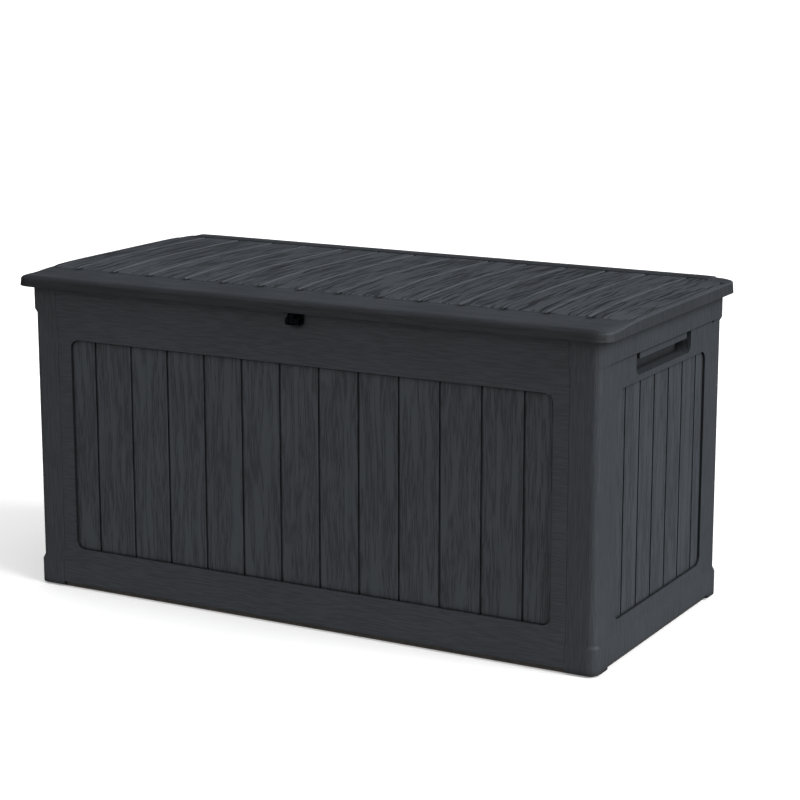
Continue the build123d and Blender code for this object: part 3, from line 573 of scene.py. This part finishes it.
@dataclass(frozen=True)
class LidSizes:
    """Sizes of the lid shell in mm, in the frame of the walls."""

    # outline at its foot, and how far the sides lean in towards the top
    half: float = 626.5
    front: float = -316.0
    rear: float = 302.3
    low: float = 601.4
    lean: float = 1.6
    corner: float = 34.0
    # crown
    crest: float = 630.0
    crest_y: float = 20.0
    side_flat: float = 547.0
    side_blend: float = 14.0
    side_power: float = 1.25
    side_fall: float = 6.5
    fall_front: float = 6.6
    fall_band: float = 1.0
    fall_rear: float = 4.5
    # rounded edges: the front rolls over in a nose, the others in a small fillet
    nose: float = 24.0
    nose_fall: float = 6.5
    nose_lead: float = 6.0
    nose_blend: float = 60.0
    edge_fillet: float = 4.0
    side_edge: float = 3.2
    rear_edge: float = 3.6
    # field of planks, with scalloped front ends
    field_front: float = 105.0
    field_rear: float = 62.0
    field_side: float = 6.0
    field_corner: float = 30.0
    rear_corner: float = 20.0
    rise: float = 2.5
    plank: float = 84.2
    scallop: float = 5.0
    scallop_power: int = 6
    front_shoulder: float = 2.0
    side_shoulder: float = 7.0
    rear_shoulder: float = 1.6
    grooves: int = 14
    groove_half: float = 4.2
    groove_floor: float = 1.4
    groove_depth: float = 2.7
    # raised strip at the rear, with a channel along it
    strip_side: float = 38.0
    strip_gap: float = 2.0
    strip_depth: float = 42.0
    strip_rise: float = 4.0
    strip_edge: float = 0.4
    strip_shoulder: float = 2.4
    channel_share: float = 0.3
    channel_floor: float = 0.3
    channel_wall: float = 1.7
    channel_depth: float = 1.8
    # rim below, its wall, the notches at the hinges and the roof inside
    skirt: float = 3.0
    foot_rise: float = 0.6
    foot_inset: float = 0.3
    notch_half: float = 20.5
    notch_z: float = 612.0
    inner_z: float = 613.0
    inner_inset: float = 0.6
    inner_rise: float = 0.2
    roof_z: float = 617.5
    roof_inset: float = 26.0
    hinges: tuple[float, float, float] = (-440.0, 0.0, 440.0)
    # uneven surface, and the band that is rougher near the front edge
    relief: float = 0.5
    rough_start: float = 70.0
    rough_blend: float = 45.0
    # painted shade on the front face, on the other faces, and how high the front face reaches back
    front_shade: float = 0.6
    side_shade: float = 0.4
    front_face: float = 14.0


@dataclass(frozen=True)
class Unevenness:
    """Soft hills of the mould's surface, of one size across and one along the planks, in mm."""

    across: float
    along: float
    board_shift: float
    seed: int

    def at(self, x: np.ndarray, y: np.ndarray, board: np.ndarray) -> np.ndarray:
        """Height from 0 to 1 at each place."""
        u = x / self.across + LATTICE_START
        v = y / self.along + board * self.board_shift + LATTICE_START
        return lattice_noise(u, v, self.seed)


@dataclass(frozen=True)
class ToneLine:
    """A line beside a groove or step: above 0 a painted highlight, below 0 painted shade."""

    place: float
    width: float
    strength: float

    def at(self, distance: np.ndarray) -> np.ndarray:
        """Tone at a distance in mm from the groove or step."""
        return self.strength * np.exp(-(((distance - self.place) / self.width) ** 2))


@dataclass(frozen=True)
class TopGrid:
    """Vertices of the top in mm: their mesh lines before they turn round the corners, their
    places, and how far planks stand up there, from 0 to 1."""

    line_x: np.ndarray
    line_y: np.ndarray
    x: np.ndarray
    y: np.ndarray
    planks: np.ndarray


class LidShell:
    """The moulded top of the lid, modelled with its planks, nose and rear strip."""

    # mesh lines in mm: inwards from the outer edges, and about the features
    INSETS = (0, 0.35, 1.0, 2.0, 3.2, 4.6, 6.0, 7.2, 8.6, 10.5, 13.0, 16.0, 19.5, 23.0, 28.5, 34.0)
    GROOVE_LINES = (-7.0, -5.5, -4.2, -3.4, -2.5, -1.6, 0, 1.6, 2.5, 3.4, 4.2, 5.5)
    PLANK_END_LINES = (-2, -0.5, 0.3, 1.0, 1.8, 2.8, 4.0, 5.5, 7.5, 10.0, 13.0)
    PLANK_REAR_LINES = (-3, -1.6, -0.8, -0.2, 0.6)
    STRIP_LINES = (-0.8, -0.2, 0.4, 1.2, 2.4)
    CHANNEL_LINES = (-2.4, -1.2, 0, 1.2, 2.4)
    NOTCH_WALL = 0.3
    COLUMN_STEP = 2.8
    ROW_STEP = 7.0
    NEAREST = 0.22

    # share of the way down the side, and how far out of the top edge
    SIDE_RINGS = (
        (0.02, 0.05), (0.15, 0.25), (0.4, 0.6), (0.7, 1.0), (0.93, 1.45), (0.985, 1.5), (1.0, 1.0)
    )

    RIDGES = Unevenness(6.5, 70, 7.3, 3)
    WAVES = Unevenness(17, 180, 3.1, 4)
    CHIPS = Unevenness(15, 5.0, 0.0, 5)

    GROOVE_LIT = ToneLine(-4.0, 1.9, 1.0)
    GROOVE_SHADE = ToneLine(0.8, 2.6, -0.8)
    SEAM_SHADE = ToneLine(1.0, 3.0, -0.9)
    CHANNEL_SHADE = ToneLine(0.0, 2.6, -0.7)
    # painted shade at the front end of a groove: along it, and across it
    END_ALONG = ToneLine(2.0, 9.0, -1.0)
    END_ACROSS = ToneLine(-1.0, 7.0, 1.0)

    def __init__(self, sizes: LidSizes) -> None:
        """Works out the edges of the top and of the field of planks.

        Args:
            sizes: The lid's sizes.
        """
        self.s = sizes
        self.half = sizes.half - sizes.lean
        self.front = sizes.front + sizes.lean
        self.rear = sizes.rear - sizes.lean
        self.field_y = (sizes.front + sizes.field_front, sizes.rear - sizes.field_rear)
        self.strip_y = self.field_y[1] + sizes.strip_gap
        self.channel_y = self.strip_y + sizes.channel_share * sizes.strip_depth

    def columns(self) -> np.ndarray:
        """Lines of the mesh across the lid, dense at grooves and edges."""
        s = self.s
        lines = {self.half - i for i in self.INSETS} | {-self.half + i for i in self.INSETS}
        for k in range(s.grooves):
            x = (k - (s.grooves - 1) / 2) * s.plank
            lines |= {x + d for d in self.GROOVE_LINES}
        for x in s.hinges:
            left, right = x - s.notch_half, x + s.notch_half
            lines |= {left, right, left - self.NOTCH_WALL, right + self.NOTCH_WALL}
        return self.filled(sorted(lines), self.COLUMN_STEP)

    def rows(self) -> np.ndarray:
        """Lines of the mesh along the lid, dense at the nose, plank ends and strip."""
        low, high = self.field_y
        lines = {self.front + i for i in self.INSETS} | {self.rear - i for i in self.INSETS}
        lines |= {low + d for d in self.PLANK_END_LINES}
        lines |= {high + d for d in self.PLANK_REAR_LINES}
        for y in (self.strip_y, self.strip_y + self.s.strip_depth):
            lines |= {y + d for d in self.STRIP_LINES}
        lines |= {self.channel_y + d for d in self.CHANNEL_LINES}
        return self.filled(sorted(lines), self.ROW_STEP)

    @classmethod
    def filled(cls, lines: list[float], step: float) -> np.ndarray:
        """Drops near doubles and fills wide gaps.

        Args:
            lines: Places of the lines in rising order.
            step: Widest gap that may stay.

        Returns:
            The places of all lines.
        """
        kept = [lines[0]]
        for value in lines[1:]:
            if value - kept[-1] > cls.NEAREST:
                kept.append(value)
        kept[-1] = lines[-1]
        out = [kept[0]]
        for a, b in zip(kept, kept[1:]):
            n = max(1, math.ceil((b - a) / step))
            out += [a + (b - a) * i / n for i in range(1, n + 1)]
        return np.array(out)

    def crown(self, x: np.ndarray, y: np.ndarray) -> np.ndarray:
        """Height of the crowned top without planks, strip and rounded edges."""
        s = self.s
        low = self.field_y[0]
        flat = s.side_flat - s.side_blend
        ahead = np.clip((s.crest_y - y) / (s.crest_y - low), 0, 1) ** 2 * s.fall_front
        behind = np.clip((y - s.crest_y) / (s.rear - s.crest_y), 0, 1) ** 2 * s.fall_rear
        band = np.clip((low - y) / (s.field_front - s.nose), 0, 1) * s.fall_band
        side = np.clip((np.abs(x) - flat) / (s.half - flat), 0, 1) ** s.side_power * s.side_fall
        return s.crest - larger(ahead + behind + band, side)

    def turned_corner(self, along_x: np.ndarray, along_y: np.ndarray, radius: float) -> np.ndarray:
        """Distance inside a rounded corner of the field, and far away elsewhere.

        Args:
            along_x: Distance past the start of the corner across the lid.
            along_y: The same along the lid.
            radius: The corner's radius.

        Returns:
            Distance inside the corner's arc.
        """
        outside = np.hypot(np.maximum(along_x, 0), np.maximum(along_y, 0))
        return np.where((along_x > 0) & (along_y > 0), radius - outside, FAR)

    def field(self, x: np.ndarray, y: np.ndarray) -> np.ndarray:
        """How far planks stand up, from 0 outside their field to 1 on them."""
        s = self.s
        low, high = self.field_y
        reach = s.half - s.field_side
        side = reach - np.abs(x)
        local = (x / s.plank - np.round(x / s.plank)) * 2
        ends = y - low - s.scallop * np.abs(local) ** s.scallop_power
        qx = np.abs(x) - (reach - s.field_corner)
        qy = (low + s.field_corner) - y
        edge = np.minimum(np.minimum(ends, side), self.turned_corner(qx, qy, s.field_corner))
        turned = smooth_step(qy / s.field_corner)
        widening = s.side_shoulder - s.front_shoulder
        front = round_shoulder(edge / (s.front_shoulder + widening * turned))
        rx = np.abs(x) - (reach - s.rear_corner)
        ry = y - (high - s.rear_corner)
        rear_edge = np.minimum(high - y, self.turned_corner(rx, ry, s.rear_corner))
        return front * smooth_step(rear_edge / s.rear_shoulder)

    def from_groove(self, x: np.ndarray) -> np.ndarray:
        """Signed distance in mm from the nearest groove."""
        s = self.s
        last = (s.grooves - 1) / 2
        nearest = np.clip(np.round(x / s.plank - 0.5) + 0.5, -last, last)
        return x - nearest * s.plank

    def groove(self, x: np.ndarray) -> np.ndarray:
        """Depth share of the grooves between planks, from 0 to 1."""
        s = self.s
        distance = np.abs(self.from_groove(x))
        return 1 - smooth_step((distance - s.groove_floor) / (s.groove_half - s.groove_floor))

    def strip(self, x: np.ndarray, y: np.ndarray) -> np.ndarray:
        """How far the rear strip stands up in mm, with the channel along it."""
        s = self.s
        edge = np.minimum(y - self.strip_y, self.strip_y + s.strip_depth - y)
        edge = np.minimum(edge, s.half - s.strip_side - np.abs(x))
        raised = smooth_step((edge + s.strip_edge) / s.strip_shoulder) * s.strip_rise
        line = np.abs(y - self.channel_y)
        cut = (1 - smooth_step((line - s.channel_floor) / s.channel_wall)) * s.channel_depth
        return np.maximum(raised - cut * (raised > 1), 0)

    def edge_drop(self, inset: np.ndarray, depth: np.ndarray, fall: np.ndarray) -> np.ndarray:
        """How far a rounded edge falls at a distance inside it."""
        return (1 - round_shoulder(inset / depth)) * fall

    def heights(self, lay: TopGrid) -> np.ndarray:
        """Heights of the top surface.

        Args:
            lay: Places of the vertices.

        Returns:
            Height of each vertex in mm.
        """
        s = self.s
        gx, gy, px, py, planks = lay.line_x, lay.line_y, lay.x, lay.y, lay.planks
        cut = self.groove(px) * (planks > 0.01)
        z = self.crown(px, py)
        z = z + planks * s.rise - cut * s.groove_depth * smooth_step(planks / 0.5)
        z = z + self.strip(px, py)
        ahead = smooth_step((self.field_y[0] + s.nose_lead - gy) / s.nose_blend)
        inset = np.minimum(self.half - np.abs(gx), gy - self.front)
        reach = s.edge_fillet + (s.nose - s.edge_fillet) * ahead
        roll = self.edge_drop(inset, reach, s.side_edge + (s.nose_fall - s.side_edge) * ahead)
        tail = self.edge_drop(self.rear - gy, 2 * s.edge_fillet, s.rear_edge)
        z = z - larger(roll, tail)
        board = np.round(px / s.plank)
        hills = self.RIDGES.at(px, py, board) + self.WAVES.at(px, py, board) - 1
        z = z + planks * (1 - cut) * s.relief * hills
        rough = smooth_step((self.front + s.rough_start - py) / s.rough_blend)
        chips = self.CHIPS.at(px, py, board) - 0.5
        return z + (1 - planks) * s.relief * rough * chips

    def tones(self, lay: TopGrid) -> np.ndarray:
        """Painted highlight lines (above 0) and painted shade lines (below 0) of the top.

        Args:
            lay: Places of the vertices.

        Returns:
            Tone of each vertex.
        """
        s = self.s
        px, py = lay.x, lay.y
        offset = self.from_groove(px)
        # painted highlight on each groove's lit wall and painted shade on its far wall; painted shade
        # lines at the rear seam, in the channel and at the groove ends
        tone = (self.GROOVE_LIT.at(offset) + self.GROOVE_SHADE.at(offset)) * lay.planks
        tone = tone + self.SEAM_SHADE.at(py - self.field_y[1]) * (np.abs(px) < s.half - s.field_side)
        tone = tone + self.CHANNEL_SHADE.at(py - self.channel_y) * (np.abs(px) < s.half - s.strip_side)
        tone = tone + self.END_ALONG.at(py - self.field_y[0]) * self.END_ACROSS.at(offset)
        # painted shade: the top darkens towards the front nose
        return tone - s.front_shade * smooth_step((self.front + s.nose - py) / s.nose)

    def grain(self, lay: TopGrid) -> np.ndarray:
        """Grain of the top: along the planks, and round the lid on its band.

        Args:
            lay: Places of the vertices.

        Returns:
            Across and along (metres) and board number of each vertex.
        """
        on_planks = lay.planks > 0.5
        ends = np.minimum(lay.line_y - self.front, self.rear - lay.line_y)
        side = self.half - np.abs(lay.line_x)
        across = np.where(on_planks, lay.x, lay.y)
        along = np.where(on_planks, lay.y, np.where(side < ends, side, lay.x))
        number = np.where(on_planks, np.round(lay.x / self.s.plank), BAND_BOARD)
        return np.stack([across * MM, along * MM, number], -1).reshape(-1, 3)

    def top(self) -> tuple[np.ndarray, list, np.ndarray, np.ndarray, np.ndarray, np.ndarray]:
        """Makes the top surface.

        Returns:
            Points, faces, grain, tone, the vertex numbers round the edge in order, and the way
            outward at each vertex.
        """
        s = self.s
        gx, gy = np.meshgrid(self.columns(), self.rows(), indexing="ij")
        cx = np.clip(gx, -self.half + s.corner, self.half - s.corner)
        cy = np.clip(gy, self.front + s.corner, self.rear - s.corner)
        dx, dy = gx - cx, gy - cy
        length = np.hypot(dx, dy)
        square = np.maximum(np.abs(dx), np.abs(dy))
        scale = np.where(length > 0, square / np.maximum(length, TINY), 1)
        px, py = cx + dx * scale, cy + dy * scale
        lay = TopGrid(gx, gy, px, py, self.field(px, py))
        grain = self.grain(lay)
        tone = self.tones(lay).reshape(-1)
        points = np.stack([px, py, self.heights(lay)], -1).reshape(-1, 3)
        nx, ny = gx.shape
        index = np.arange(nx * ny).reshape(nx, ny)
        quads = np.stack([index[:-1, :-1], index[1:, :-1], index[1:, 1:], index[:-1, 1:]], -1)
        loop = np.array([*index[:, 0], *index[-1, 1:], *index[-2::-1, -1], *index[0, -2:0:-1]])
        outward = np.stack([dx, dy], -1).reshape(-1, 2)
        return points, quads.reshape(-1, 4).tolist(), grain, tone, loop, outward

    def side_rows(self, edge: np.ndarray) -> list[tuple[np.ndarray, float]]:
        """Rings of the side, its foot, its inner wall and the roof inside.

        Args:
            edge: Points round the edge of the top.

        Returns:
            Heights round each ring and how far the ring lies outside the edge.
        """
        s = self.s
        low = np.full(len(edge), s.low)
        for x in s.hinges:
            at = (np.abs(edge[:, 0] - x) <= s.notch_half + 0.01) & (edge[:, 1] > 0)
            low[at] = s.notch_z
        rows = [(edge[:, 2] + (low - edge[:, 2]) * t, off) for t, off in self.SIDE_RINGS]
        rows.append((low, s.lean - s.skirt))
        rows.append((low + s.foot_rise, s.lean - s.skirt - s.foot_inset))
        rows.append((np.maximum(low, s.inner_z) + s.inner_rise, -s.inner_inset - s.skirt))
        rows.append((np.full(len(edge), s.roof_z), -s.roof_inset))
        return rows

    def build(self) -> bpy.types.Object:
        """Builds the whole shell as one closed mesh.

        Returns:
            The shell's object.
        """
        s = self.s
        points, faces, grain, tone, loop, outward = self.top()
        edge = points[loop]
        out = outward[loop]
        out = out / np.maximum(np.linalg.norm(out, axis=1, keepdims=True), TINY)
        steps = np.linalg.norm(np.diff(edge[:, :2], axis=0), axis=1)
        girth = np.concatenate([[0], np.cumsum(steps)])
        upright = np.abs(out[:, 0]) > np.abs(out[:, 1])
        chunks, marks, last = [points], [grain], loop
        count = len(points)
        for z, off in self.side_rows(edge):
            ring = np.column_stack([edge[:, :2] + out * off, z])
            if off <= -s.roof_inset:
                ring[:, 0] = np.clip(edge[:, 0], -self.half - off, self.half + off)
                ring[:, 1] = np.clip(edge[:, 1], self.front - off, self.rear + off)
            chunks.append(ring)
            across = np.where(upright, girth, z) * MM
            along = np.where(upright, z, girth) * MM
            marks.append(np.column_stack([across, along, np.full(len(z), BAND_BOARD)]))
            now = np.arange(count, count + len(loop))
            corners = zip(last, now, np.roll(now, -1), np.roll(last, -1))
            faces += [[int(corner) for corner in face] for face in corners]
            last, count = now, count + len(loop)
        faces.append([int(i) for i in last[::-1]])
        points = np.vstack(chunks)
        shell = mesh_object("lid_shell_look", points, faces, np.vstack(marks))
        # painted shade on the rim: the front face darker than the other faces
        arris = np.where(points[:, 1] < self.front + s.front_face, -s.front_shade, -s.side_shade)
        arris[: len(tone)] = tone
        shell.data.attributes.new(ARRIS, "FLOAT", "POINT").data.foreach_set("value", arris)
        log.info("lid shell: %d vertices", count)
        return shell


# --------------------------------------------------------------------- dress


WALL_DARK, WALL_LIGHT = "#303337", "#404449"
LID_DARK, LID_LIGHT = "#292c30", "#4a4e54"
LONG_GRAIN = WallGrain(Way.X, 0.0, 0.514, 0.0815, 0.5, 0.0833, 0.5441)
SIDE_GRAIN = WallGrain(Way.Y, 0.0076, 0.203, 0.0815, 0.5, 0.0659, 0.0)

FINISHES = {
    "liner_resin": PlainFinish(
        "moulded_grey_polypropylene", "#2c2e31", "#34373a", 0.012, 0.0001, 0.5, 0.65
    ),
    # regrind resin of the pan: a little brown, dull
    "base_resin": PlainFinish(
        "regrind_polypropylene", "#37332f", "#45403b", 0.009, 0.00015, 0.6, 0.75
    ),
    "hinge_resin": PlainFinish(
        "glass_filled_polyamide", "#1d1f21", "#292b2e", 0.006, 0.0001, 0.42, 0.55
    ),
    # lacquer over a casting: dark with sharp small highlights
    "black_gloss": PlainFinish(
        "lacquered_black_casting", "#0b0c0e", "#131417", 0.01, 0.00004, 0.06, 0.16, specular=0.9
    ),
    # zinc plating: pale, with a fine uneven sheen
    "zinc_steel": PlainFinish(
        "zinc_plated_steel", "#8f9294", "#b4b6b6", 0.004, 0.00003, 0.25, 0.42, metallic=1.0
    ),
    # rolled tube: darker, streaked along its length
    "tube_steel": PlainFinish(
        "rolled_steel_tube", "#6e7072", "#858789", 0.02, 0.00003, 0.3, 0.45, metallic=1.0,
        stretch=(0.1, 1.0, 1.0),
    ),
    "rubber": PlainFinish("moulded_rubber", "#141414", "#1e1e1d", 0.004, 0.0001, 0.7, 0.85),
}


class Dresser:
    """Gives each CAD piece that stays its finish and its small edge radius."""

    # edge radii in metres: of moulded resin, and of the slots that differ
    EDGE = 0.0009
    EDGES = {"zinc_steel": 0.0003, "tube_steel": 0.0003, "black_gloss": 0.0014}
    WELD = 0.00001
    CREASE = 35.0

    def __init__(self) -> None:
        """Builds the finishes of the slots and of the walls."""
        self.finishes = {slot: finish.build() for slot, finish in FINISHES.items()}
        wall = GrainedResin("anthracite_polypropylene_long_wall", WALL_DARK, WALL_LIGHT)
        side = GrainedResin("anthracite_polypropylene_side_wall", WALL_DARK, WALL_LIGHT)
        self.walls = {
            "front_panel": wall.build(LONG_GRAIN),
            "left_side_panel": side.build(SIDE_GRAIN),
        }
        self.walls["back_panel"] = self.walls["front_panel"]
        self.walls["right_side_panel"] = self.walls["left_side_panel"]

    def soften(self, piece: bpy.types.Object, width: float) -> None:
        """Rounds the piece's edges a little.

        Args:
            piece: The piece.
            width: The radius in metres.
        """
        weld = piece.modifiers.new("weld", "WELD")
        weld.merge_threshold = self.WELD
        bevel = piece.modifiers.new("edge", "BEVEL")
        bevel.width = width
        bevel.segments = 2
        bevel.limit_method = "ANGLE"
        bevel.angle_limit = math.radians(self.CREASE)
        bevel.use_clamp_overlap = True
        flat = piece.modifiers.new("shade", "WEIGHTED_NORMAL")
        flat.keep_sharp = False

    def dress(self, slots: dict[str, str]) -> None:
        """Dresses all CAD pieces.

        Args:
            slots: Material slot of each node, from the record.
        """
        for name, piece in frame["nodes"].items():
            slot = slots[name]
            material = self.walls.get(name) or self.finishes.get(slot)
            if material is None:
                continue
            piece.data.materials.clear()
            piece.data.materials.append(material)
            self.soften(piece, self.EDGES.get(slot, self.EDGE))
            log.info("dressed %s with %s", name, material.name)


# --------------------------------------------------------------------- stage


@dataclass(frozen=True)
class Studio:
    """Plain pale floor, soft key light from the right and above, a small softbox and the camera."""

    camera_place: tuple[float, float, float] = (2.1140, -3.7227, 1.3188)
    camera_tilt: float = 77.65
    camera_turn: float = 28.9
    lens: float = 101.57
    sensor: float = 36.0
    floor_size: float = 60.0
    sky: float = 0.74
    ground: float = 0.66
    floor_glow: float = 0.22
    floor_dark: str = "#f6f6f6"
    floor_light: str = "#fbfbfb"
    floor_drop: float = 0.0004
    horizon: float = 0.15
    softbox: float = 4.0
    softbox_place: tuple[float, float, float] = (-0.7, -2.6, 1.9)
    softbox_side: float = 0.5
    key: float = 3.1
    key_width: float = 40.0
    key_from: tuple[float, float, float] = (0.80, 0.02, 0.52)

    def floor(self) -> None:
        """Lays the floor."""
        half = self.floor_size / 2
        mesh = bpy.data.meshes.new("studio_floor")
        corners = [(-half, -half, 0), (half, -half, 0), (half, half, 0), (-half, half, 0)]
        mesh.from_pydata(corners, [], [(0, 1, 2, 3)])
        floor = bpy.data.objects.new("studio_floor", mesh)
        bpy.context.scene.collection.objects.link(floor)
        floor.location.z = -self.floor_drop
        floor.visible_glossy = False
        floor.visible_diffuse = False
        material, tree = fresh_material("painted_studio_floor")
        place = add(tree, "TexCoord").node.outputs["Object"]
        cloud = add(tree, "TexNoise", {"Vector": place, "Scale": 3.0, "Detail": 3.0})
        colour = add(
            tree,
            "Mix",
            {"Factor": cloud, 6: linear(self.floor_dark), 7: linear(self.floor_light)},
            data_type="RGBA",
        ).node
        shader = add(
            tree,
            "BsdfPrincipled",
            {
                "Base Color": colour.outputs[2],
                "Roughness": 0.9,
                "Specular IOR Level": 0.0,
                "Emission Color": linear("#ffffff"),
                "Emission Strength": self.floor_glow,
            },
        )
        close(tree, shader)
        mesh.materials.append(material)

    def lights(self) -> None:
        """Sets the sky, the key light and the softbox."""
        world = bpy.data.worlds.new("studio")
        bpy.context.scene.world = world
        world.use_nodes = True
        world.cycles_visibility.glossy = False
        tree = world.node_tree
        tree.nodes.clear()
        toward = add(tree, "TexCoord").node.outputs["Generated"]
        toward = add(tree, "SeparateXYZ", {0: toward}).node
        power = add(
            tree,
            "MapRange",
            {
                "Value": toward.outputs[2],
                "From Min": -self.horizon,
                "From Max": self.horizon,
                "To Min": self.ground,
                "To Max": self.sky,
            },
        )
        sky = add(tree, "Background", {"Color": linear("#ffffff"), "Strength": power})
        add(tree, "OutputWorld", {"Surface": sky})
        lamp = bpy.data.lights.new("key", "SUN")
        lamp.energy = self.key
        lamp.angle = math.radians(self.key_width)
        key = bpy.data.objects.new("key", lamp)
        key.rotation_mode = "QUATERNION"
        key.rotation_quaternion = Vector(self.key_from).to_track_quat("Z", "Y")
        bpy.context.scene.collection.objects.link(key)
        lamp = bpy.data.lights.new("softbox", "AREA")
        lamp.energy = self.softbox
        lamp.size = self.softbox_side
        box = bpy.data.objects.new("softbox", lamp)
        box.location = self.softbox_place
        box.rotation_mode = "QUATERNION"
        box.rotation_quaternion = Vector(self.softbox_place).to_track_quat("Z", "Y")
        bpy.context.scene.collection.objects.link(box)

    def camera(self) -> None:
        """Places the camera."""
        lens = bpy.data.cameras.new("camera")
        lens.lens = self.lens
        lens.sensor_width = self.sensor
        camera = bpy.data.objects.new("camera", lens)
        camera.location = self.camera_place
        camera.rotation_euler = (math.radians(self.camera_tilt), 0, math.radians(self.camera_turn))
        bpy.context.scene.collection.objects.link(camera)
        bpy.context.scene.camera = camera

    def build(self) -> None:
        """Builds floor, lights and camera."""
        self.floor()
        self.lights()
        self.camera()
        bpy.context.scene.view_settings.view_transform = "Standard"
        log.info("studio ready")


def slots_by_node() -> dict[str, str]:
    """The material slot of each CAD node, from the record."""
    return {part["node"]: part["material_slot"] for part in frame["record"]["subparts"]}


def main() -> None:
    """Builds the looks."""
    logging.basicConfig(level=logging.INFO)
    Dresser().dress(slots_by_node())
    shell = LidShell(LidSizes()).build()
    lid = GrainedResin(
        "anthracite_polypropylene_lid",
        LID_DARK,
        LID_LIGHT,
        ribbon_width=0.010,
        ribbon_length=0.13,
        # ridges of the mould, drawn 6 mm apart so that they hold at this distance
        fibre_pitch=0.0052,
        fibre_length=0.12,
        relief=0.0018,
        plain_share=0.22,
        ribbon_share=0.8,
        fibre_share=0.9,
    )
    shell.data.materials.append(lid.build(MeshGrain(), arris=True))
    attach(shell, "lid")
    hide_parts("lid_shell")
    Studio().build()


if __name__ == "__main__":
    main()
